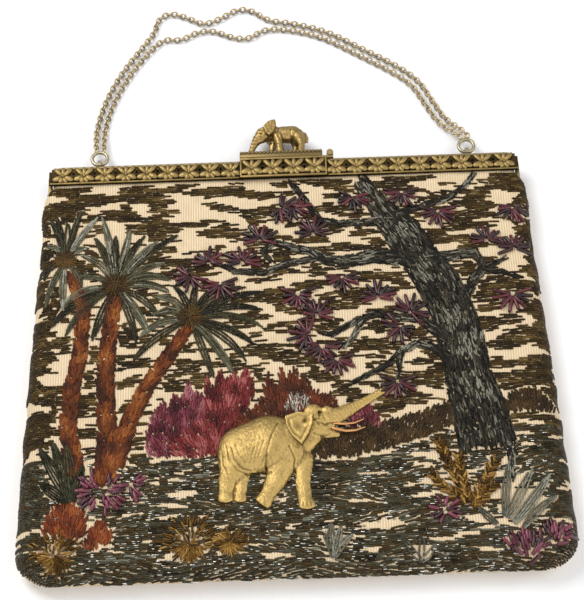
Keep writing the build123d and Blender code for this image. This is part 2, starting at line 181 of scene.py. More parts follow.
def makeAgedAndShadedMetal():  # painted shade with patina: bright where the work stands proud, dark and dull in the hollows, where patina sits and shade falls
    group, given, out = newGroup(
        "agedAndShadedMetal",
        [("Bright", "Color"), ("Dark", "Color"), ("Proud", "Float"), ("Grain", "Float"),
         ("Shine", "Float")],
        [("Color", "Color"), ("Roughness", "Float"), ("Height", "Float")],
    )
    place = addNode(group, "TexCoord")
    grain = addNode(group, "TexNoise", {"Detail": 4.0, "Roughness": 0.6})
    blotch = addNode(group, "TexNoise", {"Scale": 260.0, "Detail": 4.0})
    spread = addNode(group, "Math", {1: 0.8}, operation="MULTIPLY_ADD")
    wearAndShade = addNode(group, "MapRange", {"From Min": 0.35, "From Max": 1.2})
    tone = addNode(group, "Mix", data_type="RGBA")
    dull = addNode(group, "MapRange", {"To Min": 0.7})
    connect(
        group,
        (place, "Object", grain, "Vector"), (given, "Grain", grain, "Scale"),
        (place, "Object", blotch, "Vector"), (blotch, "Fac", spread, 0), (given, "Proud", spread, 2),
        (spread, 0, wearAndShade, "Value"), (wearAndShade, "Result", tone, "Factor"), (given, "Dark", tone, "A"),
        (given, "Bright", tone, "B"), (wearAndShade, "Result", dull, "Value"), (given, "Shine", dull, "To Max"),
        (tone, "Result", out, "Color"), (dull, "Result", out, "Roughness"), (grain, "Fac", out, "Height"),
    )
    return group


def makeThreadTwist():  # the fine ply of a thread
    outputs = [("Tint", "Color"), ("Height", "Float")]
    group, given, out = newGroup("threadTwist", [("Scale", "Float")], outputs)
    place = addNode(group, "TexCoord")
    fibre = addNode(group, "TexNoise", {"Detail": 3.0, "Roughness": 0.65})
    tint = addNode(group, "MapRange", {"From Min": 0.3, "From Max": 0.7, "To Min": 0.62, "To Max": 1.2})
    connect(
        group,
        (place, "Object", fibre, "Vector"), (given, "Scale", fibre, "Scale"), (fibre, "Fac", tint, "Value"),
        (tint, "Result", out, "Tint"), (fibre, "Fac", out, "Height"),
    )
    return group


agedAndShadedMetal = makeAgedAndShadedMetal()
threadTwist = makeThreadTwist()


def newMaterial(name):
    material = bpy.data.materials.new(name)
    material.use_nodes = True
    return material, material.node_tree, material.node_tree.nodes["Principled BSDF"]


def metalMaterial(name, bright, dark, rise=None, shine=0.32, grain=900.0, depth=0.12):
    # rise is the height range, mm, over which the metal brightens from dark, painted shade with patina, to
    # bright metal; without it the wear-and-shade layer decides
    material, tree, shader = newMaterial(name)
    look = {"Bright": paint(*bright), "Dark": paint(*dark), "Shine": shine, "Grain": grain}
    agedAndShaded = addNode(tree, "Group", look, node_tree=agedAndShadedMetal)
    if rise:
        place = addNode(tree, "TexCoord")
        parts = addNode(tree, "SeparateXYZ")
        proud = addNode(tree, "MapRange", {"From Min": rise[0] * mm, "From Max": rise[1] * mm})
        connect(tree, (place, "Object", parts, 0), (parts, "Z", proud, "Value"))
        connect(tree, (proud, "Result", agedAndShaded, "Proud"))
    else:
        wearAndShade = addNode(tree, "Attribute", attribute_name="wearAndShade")
        connect(tree, (wearAndShade, "Fac", agedAndShaded, "Proud"))
    bump = addNode(tree, "Bump", {"Strength": depth, "Distance": 0.3 * mm})
    connect(
        tree,
        (agedAndShaded, "Height", bump, "Height"), (agedAndShaded, "Color", shader, "Base Color"),
        (agedAndShaded, "Roughness", shader, "Roughness"), (bump, "Normal", shader, "Normal"),
    )
    shader.inputs["Metallic"].default_value = 1.0
    return material


def shadeRamp(tree, colours):  # colours by the shade that each stitch or bead carries
    shade = addNode(tree, "Attribute", attribute_name="shade")
    ramp = addNode(tree, "ValToRGB")
    stops = ramp.color_ramp.elements
    while len(stops) < len(colours):
        stops.new(0.5)
    for k, colour in enumerate(colours):
        stops[k].position = k / (len(colours) - 1)
        stops[k].color = paint(*colour)
    connect(tree, (shade, "Fac", ramp, "Fac"))
    return ramp


def threadMaterial(name, colours, metal=0.0, rough=0.5):
    material, tree, shader = newMaterial(name)
    ramp = shadeRamp(tree, colours)
    twist = addNode(tree, "Group", {"Scale": 2400.0}, node_tree=threadTwist)
    tint = addNode(tree, "Mix", {"Factor": 1.0}, data_type="RGBA", blend_type="MULTIPLY")
    bump = addNode(tree, "Bump", {"Strength": 0.6, "Distance": 0.2 * mm})
    connect(
        tree,
        (ramp, "Color", tint, "A"), (twist, "Tint", tint, "B"), (tint, "Result", shader, "Base Color"),
        (twist, "Height", bump, "Height"), (bump, "Normal", shader, "Normal"),
    )
    setInputs(shader, {"Metallic": metal, "Roughness": rough, "Specular IOR Level": 0.14})
    return material


def silkMaterial(name, light, dark, ribs):
    material, tree, shader = newMaterial(name)
    place = addNode(tree, "TexCoord")
    weave = {"Scale": ribs, "Distortion": 0.6, "Detail": 2.0, "Detail Scale": 2.0}
    rib = addNode(tree, "TexWave", weave, bands_direction="X")
    slub = addNode(tree, "TexNoise", {"Scale": 260.0, "Detail": 4.0})
    both = addNode(tree, "Math", operation="MULTIPLY")
    spread = addNode(tree, "MapRange", {"From Min": 0.05, "From Max": 0.45})
    tone = addNode(tree, "Mix", {"A": paint(*dark), "B": paint(*light)}, data_type="RGBA")
    bump = addNode(tree, "Bump", {"Strength": 0.5, "Distance": 0.3 * mm})
    connect(
        tree,
        (place, "Object", rib, "Vector"), (place, "Object", slub, "Vector"), (rib, "Fac", both, 0),
        (slub, "Fac", both, 1), (both, 0, spread, "Value"), (spread, "Result", tone, "Factor"),
        (tone, "Result", shader, "Base Color"), (rib, "Fac", bump, "Height"),
        (bump, "Normal", shader, "Normal"),
    )
    setInputs(shader, {"Roughness": 0.6, "Specular IOR Level": 0.3})
    return material


def beadMaterial(name, colours):
    material, tree, shader = newMaterial(name)
    connect(tree, (shadeRamp(tree, colours), "Color", shader, "Base Color"))
    setInputs(shader, {"Roughness": 0.14, "Specular IOR Level": 0.34})
    return material


metals = {  # bright and dark colour, then height range, shine, and scale and depth of the grain; the dark colour, at the sunken end of the height range or in the folds, is patina together with painted shade
    "antiqueBrass": ((136, 119, 82), (58, 48, 31), (2.0, 10.0), 0.42),
    "backBrass": ((136, 119, 82), (58, 48, 31), (6.0, 1.0), 0.42),
    "barBrass": ((112, 96, 64), (50, 41, 26), (0.0, 12.0), 0.45),
    "galleryBrass": ((90, 74, 45), (24, 18, 10), (10.8, 11.7), 0.5),
    "plateBrass": ((90, 74, 45), (24, 18, 10), (11.8, 12.7), 0.5),
    "flowerBrass": ((134, 114, 72), (38, 28, 12), (10.8, 12.0), 0.4, 1500.0, 0.5),
    "plateFlowerBrass": ((134, 114, 72), (38, 28, 12), (11.8, 13.0), 0.4, 1500.0, 0.5),
    "castBrass": ((142, 119, 74), (18, 12, 5), None, 0.36, 1400.0, 0.3),
    "giltBrass": ((160, 135, 83), (44, 30, 12), None, 0.38, 1700.0, 0.6),
    "copperWire": ((184, 138, 92), (110, 70, 42), (13.0, 15.0)),
    "ringMetal": ((150, 140, 114), (78, 70, 54), (0.0, 5.0), 0.3),
    "chainMetal": ((168, 148, 108), (52, 41, 25), (-0.2, 2.6), 0.28),
}
metalOf = {name: metalMaterial(name, *look) for name, look in metals.items()}
creamSilk = silkMaterial("creamSilk", (231, 210, 175), (202, 178, 142), 330.0)
liningSatin = silkMaterial("liningSatin", (222, 204, 170), (200, 178, 142), 900.0)
print("materials made")


# chain: two strands along the solid model's routes
lie = 1.35
chain = {
    "outer": [
        (-74.3, 101.8, 3.9), (-74.6, 107, 3), (-74.7, 113.8, lie), (-71.6, 127.2, lie),
        (-64.6, 142.6, lie), (-56.5, 154.5, lie), (-51.4, 162.4, lie), (-50.6, 168.4, lie),
        (-45.6, 172.4, lie), (-37.9, 169.4, lie), (-31.4, 165.2, lie), (-24.4, 168, lie),
        (-17, 173.2, lie), (-10.2, 171.8, lie), (-4.6, 166.2, lie), (6, 164.6, lie), (20.4, 159.6, lie),
        (34, 150, lie), (47, 141.4, lie), (56.2, 133.2, lie), (60.4, 124, lie), (66.2, 112, lie),
        (71.8, 107, 2.7), (74, 102.3, 3.9),
    ],
    "inner": [
        (-71.3, 101.8, 3.9), (-71.4, 107, 3), (-71.4, 113.6, lie), (-68.5, 126.1, lie), (-61.6, 141, lie),
        (-53.4, 152.8, lie), (-47.8, 158.6, lie), (-40.6, 157.4, lie), (-34.6, 161.4, lie),
        (-27.4, 162.4, lie), (-20, 158.2, lie), (-12.4, 156.8, lie), (-6.6, 162, lie), (4.6, 161.4, lie),
        (18.8, 156.4, lie), (32.2, 147, lie), (45, 138.4, lie), (53.6, 130.8, lie), (57.6, 122, lie),
        (63.2, 110.6, lie), (68.5, 106, 2.7), (71.1, 101.9, 3.9),
    ],
    "width": 2.5, "wire": 0.3, "linkLong": 1.32, "linkWide": 1.02, "pitch": 1.96,
    "sides": 5, "steps": 10, "tips": (-54, 36),
}


def routeLine(name, points):  # points along the smooth line through a route
    curve = bpy.data.curves.new(name, "CURVE")
    curve.dimensions = "3D"
    curve.resolution_u = 12
    spline = curve.splines.new("NURBS")
    spline.points.add(len(points) - 1)
    for spot, place in zip(spline.points, points):
        spot.co = (*(Vector(place) * mm), 1.0)
    spline.order_u = 3
    spline.use_endpoint_u = True
    holder = bpy.data.objects.new(name, curve)
    bpy.context.scene.collection.objects.link(holder)
    bpy.context.view_layer.update()
    mesh = bpy.data.meshes.new_from_object(holder)
    line = [v.co.copy() for v in mesh.vertices]
    bpy.data.objects.remove(holder)
    bpy.data.curves.remove(curve)
    bpy.data.meshes.remove(mesh)
    return line


def hoopShape(radius, wire, sides, steps, stretch=1.0):  # a wire ring in the XY plane
    bm = bmesh.new()
    section = bmesh.ops.create_circle(bm, segments=sides, radius=wire)["verts"]
    turn = Matrix.Translation((radius, 0, 0)) @ Matrix.Rotation(math.pi / 2, 4, "X")
    bmesh.ops.transform(bm, matrix=turn, verts=section)
    bmesh.ops.spin(bm, geom=bm.edges[:], cent=(0, 0, 0), axis=(0, 0, 1), angle=2 * math.pi, steps=steps,
                   use_merge=True)
    bmesh.ops.scale(bm, vec=(1, stretch, 1), verts=bm.verts[:])
    bmesh.ops.recalc_face_normals(bm, faces=bm.faces[:])
    return bm


def chainStrand(name, route, node):
    line = routeLine(name + "Line", route)
    stretch = chain["linkLong"] / chain["linkWide"]
    link = hoopShape(chain["linkWide"] * mm, chain["wire"] * mm, chain["sides"], chain["steps"], stretch)
    bm = bmesh.new()
    along = 0.0
    travelled = 0.0
    turned = False
    for a, b in zip(line, line[1:]):
        run = (b - a).length
        heading = (b - a).to_track_quat("Y", "Z").to_matrix().to_4x4()
        while along <= travelled + run:
            spot = a.lerp(b, (along - travelled) / run)
            tip = Matrix.Rotation(math.radians(chain["tips"][turned]), 4, "Y")
            repeatShape(bm, link, Matrix.Translation(spot) @ heading @ tip)
            along += chain["pitch"] * mm
            turned = not turned
        travelled += run
    link.free()
    strand = makePiece(bm, name, metalOf["chainMetal"])
    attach(strand, "back_half")
    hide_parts(node)


chainStrand("chainOuter", chain["outer"], "chain_outer")
chainStrand("chainInner", chain["inner"], "chain_inner")
print("chain laid")


# cloth: a front and a back sheet that meet at a seam round the edge
cloth = {
    "bottom": -82.4, "frontMouth": 82.2, "backMouth": 87.0, "corner": 13.0,
    "halfWidths": (
        (-82.4, 98.8), (0, 96.2), (56, 93.8), (68, 94.2), (76, 93.6), (80, 91.8), (84, 90.2), (90, 89.8),
    ),
    "sideWave": 0.6, "sideWaveLong": 8.0, "pucker": 0.3, "puckerLong": 6.0,
    "full": 13.0, "neckFront": 9.9, "neckBack": 1.2, "slopeLow": 26.0, "slopeHigh": 57.0,
    "seam": 5.2, "edge": 6.5, "neckEdge": 3.0, "edgeLow": 44, "edgeHigh": 62,
    "thick": 0.9, "lining": 1.3, "liningDrop": 1.2, "liningFoot": 22, "halfDeep": 7.0, "halfWide": 96.0,
    "flatAt": -30, "overEdge": 4, "columns": 128, "rows": 116,
}


def halfWidth(y):
    points = cloth["halfWidths"]
    half = points[0][1]
    for (y0, w0), (y1, w1) in zip(points, points[1:]):
        if y >= y0:
            half = w0 + (w1 - w0) * min((y - y0) / (y1 - y0), 1.0)
    rise = clamp(y - cloth["bottom"], 0.0, cloth["corner"])
    half -= cloth["corner"] - math.sqrt(cloth["corner"] ** 2 - (cloth["corner"] - rise) ** 2)
    return half + cloth["sideWave"] * waver(y / cloth["sideWaveLong"], 3.0, 0.0)


def edgeRound(y):
    neck = ease(cloth["edgeLow"], cloth["edgeHigh"], y)
    return cloth["edge"] + (cloth["neckEdge"] - cloth["edge"]) * neck


def fullness(x, y):  # 0 at the seam, 1 where the cloth lies full
    edge = edgeRound(y)
    side = clamp((halfWidth(y) - abs(x)) / edge)
    foot = clamp((y - cloth["bottom"]) / edge)
    return math.sqrt(1 - (1 - side) ** 2) * math.sqrt(1 - (1 - foot) ** 2)


def frontHeight(x, y):
    neck = ease(cloth["slopeLow"], cloth["slopeHigh"], y)
    top = cloth["full"] + (cloth["neckFront"] - cloth["full"]) * neck
    ripple = cloth["pucker"] * waver(x / cloth["puckerLong"], y / cloth["puckerLong"], 1.0)
    return cloth["seam"] + (top - cloth["seam"] + ripple) * fullness(x, y)


def backHeight(x, y):
    low = cloth["neckBack"] * ease(cloth["slopeLow"], cloth["slopeHigh"], y)
    return cloth["seam"] - (cloth["seam"] - low) * fullness(x, y)


def acrossCloth(u, y):  # x after going u over the cloth from its middle, round the edge
    edge = edgeRound(y)
    flat = halfWidth(y) - edge
    bend = clamp((abs(u) - flat) / edge, 0.0, math.pi / 2)
    return math.copysign(min(abs(u), flat) + edge * math.sin(bend), u)


def upCloth(t):  # y after going t over the cloth from the bottom seam
    arc = cloth["edge"] * math.pi / 2
    bend = min(t, arc) / cloth["edge"]
    return cloth["bottom"] + cloth["edge"] * (1 - math.cos(bend)) + max(t - arc, 0.0)


def reachAcross(y):
    return halfWidth(y) + edgeRound(y) * (math.pi / 2 - 1)


def reachUp(mouth):
    return mouth - cloth["bottom"] + cloth["edge"] * (math.pi / 2 - 1)


def clothSheet(name, height, mouth, inset, material):
    bm = bmesh.new()
    bmesh.ops.create_grid(bm, x_segments=cloth["columns"], y_segments=cloth["rows"], size=1.0)
    for v in bm.verts:
        y = upCloth((v.co.y + 1) / 2 * reachUp(mouth))
        x = acrossCloth(v.co.x * reachAcross(y), y)
        z = cloth["seam"] + (height(x, y) - cloth["seam"]) * (1 - inset / cloth["halfDeep"])
        foot = inset * (1 - ease(cloth["bottom"], cloth["bottom"] + cloth["liningFoot"], y))
        v.co = Vector((x * (1 - inset / cloth["halfWide"]), y + foot, z)) * mm
    return makePiece(bm, name, material)


def addThickness(piece, thick):
    wall = piece.modifiers.new("thickness", "SOLIDIFY")
    wall.thickness = thick * mm
    wall.offset = -1
    bakeModifiers(piece)


def followFront(piece):  # cloth and stitches swing with the front half above the hinge
    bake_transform(piece, "back_half", "front_half", start=Vector((0, 0.052, 0)), end=Vector((0, 0.068, 0)))


def makeCloth():
    front = clothSheet("frontCloth", frontHeight, cloth["frontMouth"], 0.0, creamSilk)
    back = clothSheet("backCloth", backHeight, cloth["backMouth"], 0.0, creamSilk)
    frontTop = cloth["frontMouth"] - cloth["liningDrop"]
    backTop = cloth["backMouth"] - cloth["liningDrop"]
    frontLining = clothSheet("frontLining", frontHeight, frontTop, cloth["lining"], liningSatin)
    backLining = clothSheet("backLining", backHeight, backTop, cloth["lining"], liningSatin)
    back.data.flip_normals()
    backLining.data.flip_normals()
    addThickness(front, cloth["thick"])
    addThickness(back, cloth["thick"])
    width = 2 * (halfWidth(cloth["flatAt"]) + cloth["overEdge"]) * mm
    for piece, node, slot, mouth in (
        (front, "embroidered_cover", "cream_silk", "frontMouth"),
        (back, "embroidered_cover", "cream_silk", "backMouth"),
        (frontLining, "lining", "lining_satin", "frontMouth"),
        (backLining, "lining", "lining_satin", "backMouth"),
    ):
        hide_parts(node)
    followFront(front)
    followFront(frontLining)
    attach(back, "back_half")
    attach(backLining, "back_half")


makeCloth()
print("cloth made")


# stitches: one short padded shape, laid over the cloth thousands of times
laying = {
    "least": 0.2, "markStep": 0.6, "probe": 0.4,  # mm
    "fieldAside": 0.3, "fieldAlong": 0.9,  # mm
    "half": (0.4, 0.62), "stalkStart": 0.3, "stalkStray": 0.4, "stalkStep": 0.56,  # shares of a stitch
    "fieldStep": 0.52,
    "leafStray": 0.5, "leafShort": 0.12, "leafOverlap": 0.12, "leafTone": 0.18, "stitchTone": 0.15,
    "leafBase": 0.12, "leafSpan": 0.86, "leafFull": 0.8,  # how a leaf swells between its ends
}


def stitchShape():
    bm = bmesh.new()
    bmesh.ops.create_uvsphere(bm, u_segments=6, v_segments=3, radius=0.5)
    girth, stretch = 1.15, 1.5
    for v in bm.verts:
        if abs(v.co.z) < 0.4:
            v.co = (v.co.x * girth, v.co.y * girth, v.co.z * stretch)
    bmesh.ops.rotate(bm, matrix=Matrix.Rotation(math.pi / 2, 3, "Y"), verts=bm.verts[:])
    bm.verts.layers.float.new("shade")
    return bm


def bugleShape():
    bm = bmesh.new()
    bmesh.ops.create_cone(bm, cap_ends=True, segments=8, radius1=0.5, radius2=0.5, depth=1.0)
    rims = [e for e in bm.edges if abs(e.verts[0].co.z - e.verts[1].co.z) < 0.1]
    bmesh.ops.bevel(bm, geom=rims, offset=0.09, affect="EDGES", segments=1, profile=0.5, material=-1)
    bmesh.ops.rotate(bm, matrix=Matrix.Rotation(math.pi / 2, 3, "Y"), verts=bm.verts[:])
    bm.verts.layers.float.new("shade")
    return bm


stitch = stitchShape()
bugle = bugleShape()
covered = set()  # square millimetres that a motif already fills


def clothPoint(x, y):
    return Vector((x, y, frontHeight(x, y)))


def clothNormal(x, y):
    step = laying["probe"]
    slopeX = (frontHeight(x + step, y) - frontHeight(x - step, y)) / (2 * step)
    slopeY = (frontHeight(x, y + step) - frontHeight(x, y - step)) / (2 * step)
    return Vector((-slopeX, -slopeY, 1.0)).normalized()


def lay(target, shape, start, end, size, lift, shade, marks=True):  # size is width and height
    a = clothPoint(*start)
    b = clothPoint(*end)
    along = b - a
    if along.length < laying["least"]:
        return
    normal = clothNormal((start[0] + end[0]) / 2, (start[1] + end[1]) / 2)
    across = normal.cross(along).normalized()
    up = along.cross(across).normalized()
    stance = Matrix((along, across * size[0], up * size[1])).transposed().to_4x4()
    middle = (a + b) / 2 + up * lift
    repeatShape(target, shape, toMetres @ Matrix.Translation(middle) @ stance, clamp(shade))
    if marks:
        steps = max(int(along.length / laying["markStep"]), 1)
        for k in range(steps + 1):
            spot = a.lerp(b, k / steps)
            covered.add((round(spot.x), round(spot.y)))


def threadSpec(**changes):
    spec = {"gap": 0.8, "long": 3.4, "size": (0.9, 0.7), "lift": 0.2, "loose": 9.0, "slant": 0.0,
            "patch": 8.0, "contrast": 0.6, "vary": 0.25, "edgeDark": 0.2}
    spec.update(changes)
    return spec


def patchShade(x, y, spec):  # threads of one tone lie together
    tone = waver(x / spec["patch"], y / spec["patch"], 6.0)
    return 0.5 + spec["contrast"] * tone + dice.uniform(-spec["vary"], spec["vary"])


def shortStitch(target, x, y, angle, spec, shade, marks=True):
    half = bearing(angle + dice.gauss(0, spec["loose"])) * spec["long"] * dice.uniform(*laying["half"])
    start = (x - half.x, y - half.y)
    end = (x + half.x, y + half.y)
    lay(target, stitch, start, end, spec["size"], spec["lift"], shade, marks)


def alongStalk(stations, travel):  # place, direction and width after some travel along a stalk
    for a, b in zip(stations, stations[1:]):
        run = math.dist(a[:2], b[:2])
        if travel <= run or b is stations[-1]:
            t = min(travel / run, 1.0)
            heading = Vector((b[0] - a[0], b[1] - a[1])).normalized()
            x, y, width = (first + (last - first) * t for first, last in zip(a, b))
            return Vector((x, y)), heading, width
        travel -= run


def fillStalk(target, stations, spec):
    total = sum(math.dist(a[:2], b[:2]) for a, b in zip(stations, stations[1:]))
    stray = laying["stalkStray"]
    travel = spec["long"] * laying["stalkStart"]
    while travel < total:
        place, heading, width = alongStalk(stations, travel)
        aside = Vector((-heading.y, heading.x))
        angle = angleOf(heading.x, heading.y)
        lanes = max(round(width / spec["gap"]), 1)
        for lane in range(lanes):
            side = (lane + 0.5) / lanes * 2 - 1
            spot = place + aside * (side * width / 2) + heading * dice.uniform(-stray, stray) * spec["long"]
            shade = patchShade(spot.x, spot.y, spec) - spec["edgeDark"] * side * side
            shortStitch(target, spot.x, spot.y, angle + spec["slant"] * side, spec, shade)
        travel += spec["long"] * laying["stalkStep"]


def insideField(points, x, y):
    inside = False
    for (x0, y0), (x1, y1) in zip(points, points[1:] + points[:1]):
        if (y0 > y) != (y1 > y) and x < x0 + (y - y0) / (y1 - y0) * (x1 - x0):
            inside = not inside
    return inside


def fillField(target, points, spec, root):  # stitches that fan out from a root
    xs, ys = zip(*points)
    aside, along = laying["fieldAside"], laying["fieldAlong"]
    y = min(ys)
    while y < max(ys):
        x = min(xs) + dice.uniform(0, spec["gap"])
        while x < max(xs):
            atX, atY = x + dice.uniform(-aside, aside), y + dice.uniform(-along, along)
            if insideField(points, atX, atY):
                angle = angleOf(atX - root[0], atY - root[1])
                shortStitch(target, atX, atY, angle, spec, patchShade(atX, atY, spec))
            x += spec["gap"]
        y += spec["long"] * laying["fieldStep"]


def leafSwell(t):
    return math.sin(math.pi * clamp(laying["leafBase"] + laying["leafSpan"] * t)) ** laying["leafFull"]


def fillLeaf(target, base, tip, width, spec, tone, bend=0.0):  # a pointed leaf from base to tip
    run = Vector(tip) - Vector(base)
    heading = run.normalized()
    aside = Vector((-heading.y, heading.x))
    steps = max(round(run.length / spec["long"]), 2)
    strands = max(round(width / spec["gap"]), 2)
    for k in range(strands):
        side = k / (strands - 1) * 2 - 1
        strandTone = tone + dice.uniform(-laying["leafTone"], laying["leafTone"])
        spots = []
        stray = dice.uniform(-laying["leafStray"], laying["leafStray"]) / steps
        for step in range(steps + 1):
            t = clamp(step / steps + (stray if 0 < step < steps else 0.0))
            t *= 1 - laying["leafShort"] * abs(side) * dice.random()
            bow = side * width / 2 * leafSwell(t) + bend * t * (1 - t) * 4
            spots.append(Vector(base) + run * t + aside * bow)
        for a, b in zip(spots, spots[1:]):
            shade = strandTone + dice.uniform(-laying["stitchTone"], laying["stitchTone"])
            lay(target, stitch, a - (b - a) * laying["leafOverlap"], b, spec["size"], spec["lift"], shade)


def finishMotif(bm, name, material, nodes, swings):
    piece = makePiece(bm, name, material)
    if nodes:
        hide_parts(*nodes)
    if swings:
        followFront(piece)
    else:
        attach(piece, "back_half")


# palms on the left: three leaning trunks, leaves drawn crown by crown
palms = {
    "trunks": [  # x, y and width
        ((-82, 41, 4), (-76.3, 24, 5), (-77.1, 5, 5.4), (-79.7, -9, 5.7), (-80.6, -25, 6), (-77.6, -44, 7)),
        ((-64.6, 29, 5.2), (-66.7, 10, 5.8), (-67.6, -6, 6.2), (-66.6, -26, 6.6), (-66.8, -47, 8)),
        ((-36.4, 16, 4.4), (-44, 3.7, 5.2), (-52.4, -9.7, 5.5), (-58.5, -23, 6), (-63.5, -40, 7)),
    ],
    "crowns": [  # middle, leaf width and leaf tips
        ((-84.2, 46.9), 1.9, [
            (-90.6, 65.7), (-88.1, 67.1), (-83.9, 65.4), (-78.5, 69.5), (-72, 66.4), (-92.1, 54),
            (-91.6, 37.5), (-90.5, 25), (-83.7, 23), (-77.8, 32.3), (-75, 52),
        ]),
        ((-64.4, 34), 2.6, [
            (-70.7, 66.4), (-73.6, 57.4), (-59.7, 59.9), (-53.9, 57.3), (-48.8, 54.8), (-41.1, 56.8),
            (-78.6, 49.1), (-81, 37.1), (-43.5, 35.4), (-44, 29.8), (-45.7, 43.6), (-56.3, 8.4),
            (-47.9, 19), (-52, 12.6), (-88.5, 16.1), (-82.8, 12.4), (-72.9, 9.9), (-84.8, 24.7),
            (-65, 58),
        ]),
        ((-36.6, 18.9), 2.3, [
            (-8.5, 28.6), (-9.3, 20.8), (-15.3, 31), (-22.6, 33), (-34.3, 34.2), (-42.8, 32.8),
            (-50.6, 28.1), (-57.6, 1.2), (-55.5, 10.6), (-15.9, -0.9), (-20.6, -6.1), (-12.7, 6.2),
            (-27.9, -7.2), (-9.4, 13.2), (-51, 20),
        ]),
    ],
    "leafFrom": 0.13, "tones": (0.1, 0.2, 0.3, 0.42, 0.6, 0.76), "girth": (0.85, 1.15),
    "droop": 2.8, "droopVary": 0.8, "heartStitches": 40, "heartCore": 0.3, "heartReach": 1.9,
    "leafThread": [(26, 23, 12), (45, 41, 24), (68, 64, 43), (102, 100, 80), (156, 154, 138)],
    "heartThread": [(34, 22, 7), (60, 42, 15), (88, 64, 26)],
    "trunkThread": [(50, 22, 7), (84, 39, 13), (120, 62, 23), (152, 92, 44)],
}


def makePalms():
    fronds = bmesh.new()
    hearts = bmesh.new()
    trunks = bmesh.new()
    leaf = threadSpec(long=3.6, gap=0.72, lift=0.45, size=(0.85, 0.7))
    heart = threadSpec(lift=0.75, long=3.0)
    trunk = threadSpec(gap=0.66, slant=-16, lift=0.35, patch=6.0, contrast=0.8, edgeDark=0.3,
                       size=(1.05, 0.85))
    for middle, width, tips in palms["crowns"]:
        for tip in tips:
            base = Vector(middle).lerp(Vector(tip), palms["leafFrom"])
            tone = dice.choice(palms["tones"])
            girth = width * dice.uniform(*palms["girth"])
            droop = palms["droop"] * (Vector(tip) - base).normalized().x
            droop += dice.uniform(-palms["droopVary"], palms["droopVary"])
            fillLeaf(fronds, base, tip, girth, leaf, tone, droop)
        for k in range(palms["heartStitches"]):
            angle = k * goldenTurn
            reach = palms["heartCore"] + width * palms["heartReach"] * math.sqrt(k / palms["heartStitches"])
            spot = Vector(middle) + bearing(angle) * reach
            shortStitch(hearts, spot.x, spot.y, angle, heart, patchShade(spot.x, spot.y, leaf))
    for stations in palms["trunks"]:
        fillStalk(trunks, stations, trunk)
    leafThread = threadMaterial("frondThread", palms["leafThread"], 0.1, 0.42)
    heartThread = threadMaterial("umberThread", palms["heartThread"])
    trunkThread = threadMaterial("trunkThread", palms["trunkThread"])
    finishMotif(fronds, "palmFronds", leafThread, ["palm_fronds"], True)
    finishMotif(hearts, "palmHearts", heartThread, [], True)
    finishMotif(trunks, "palmTrunks", trunkThread, ["palm_trunks"], False)


makePalms()
print("palms stitched")


# the old tree on the right
oldTree = {
    "stems": [  # x, y and width
        ((69.5, -38, 21), (67.3, -23, 20), (64.7, -9, 17), (63, 6, 17.5), (61, 17, 16.5), (56.5, 30, 17),
         (50.5, 42, 15.5), (45, 54, 15.5), (37, 66, 9.5), (29.5, 79, 6.5)),
        ((40, 60, 4), (21, 59.5, 3), (13.3, 61.3, 2.8), (9.7, 67.6, 2.6), (6.1, 73.9, 2.3), (2.5, 79, 2)),
        ((49, 42, 8), (33, 43.5, 6.4), (21.4, 41.3, 5.6), (15.2, 42.4, 4.6), (9, 47, 3.4), (-5, 52, 2.8),
         (-9, 47.5, 2.2), (-6, 43, 1.6)),
        ((12, 44, 3), (0, 41, 3), (-9, 37.5, 3), (-19, 38.5, 2.4), (-25, 42, 1.8)),
        ((43, 63, 3.4), (56, 67.2, 3), (62.6, 69.2, 2.6), (69.5, 74.3, 2.2), (73.5, 79.5, 1.8)),
        ((54, 41, 5.5), (63.1, 42.7, 4.8), (70.8, 43.9, 4.2), (73.5, 38.9, 3), (72.4, 33.4, 2)),
        ((64, 20, 5), (70.4, 32, 3.8), (75.2, 36.5, 2.8), (82, 40.2, 1.8)),
        ((74.6, 34.5, 2.4), (81, 34, 2), (87.2, 31.2, 1.6)),
        ((58, 6, 5), (48.6, 14.7, 3.6), (41.3, 15.7, 3.2), (32.7, 17.5, 3), (25.2, 15, 2.5),
         (16.3, 9.7, 2.2), (12.6, 9.8, 1.8)),
        ((27.7, 16.3, 2.4), (23.6, 8, 2), (19.7, 4, 1.6)),
        ((40.4, 1, 2.2), (39.3, -8, 1.6)),
        ((60, -4, 4.4), (52.7, 2.6, 3.6), (46.7, 4.3, 3), (40.4, 1, 2.6), (36.4, -3.6, 2.4),
         (28.9, -7.5, 2), (21.5, -11.3, 1.6)),
        ((74, -30, 5), (77.5, -40, 3), (77, -50, 1.6)),
        ((62, -34, 4), (60, -42, 2)),
    ],
    "bark": [(6, 4, 1), (19, 15, 8), (38, 33, 22), (64, 59, 46), (132, 129, 114)],
}


def makeTree():
    bm = bmesh.new()
    spec = threadSpec(gap=0.54, lift=0.35, patch=10.0, contrast=0.5, vary=0.52, edgeDark=0.15, loose=8,
                      size=(0.76, 0.85))
    for stations in oldTree["stems"]:
        fillStalk(bm, stations, spec)
    barkThread = threadMaterial("barkThread", oldTree["bark"], 0.15, 0.4)
    finishMotif(bm, "oldTree", barkThread, ["flowering_tree"], True)


makeTree()
print("tree stitched")


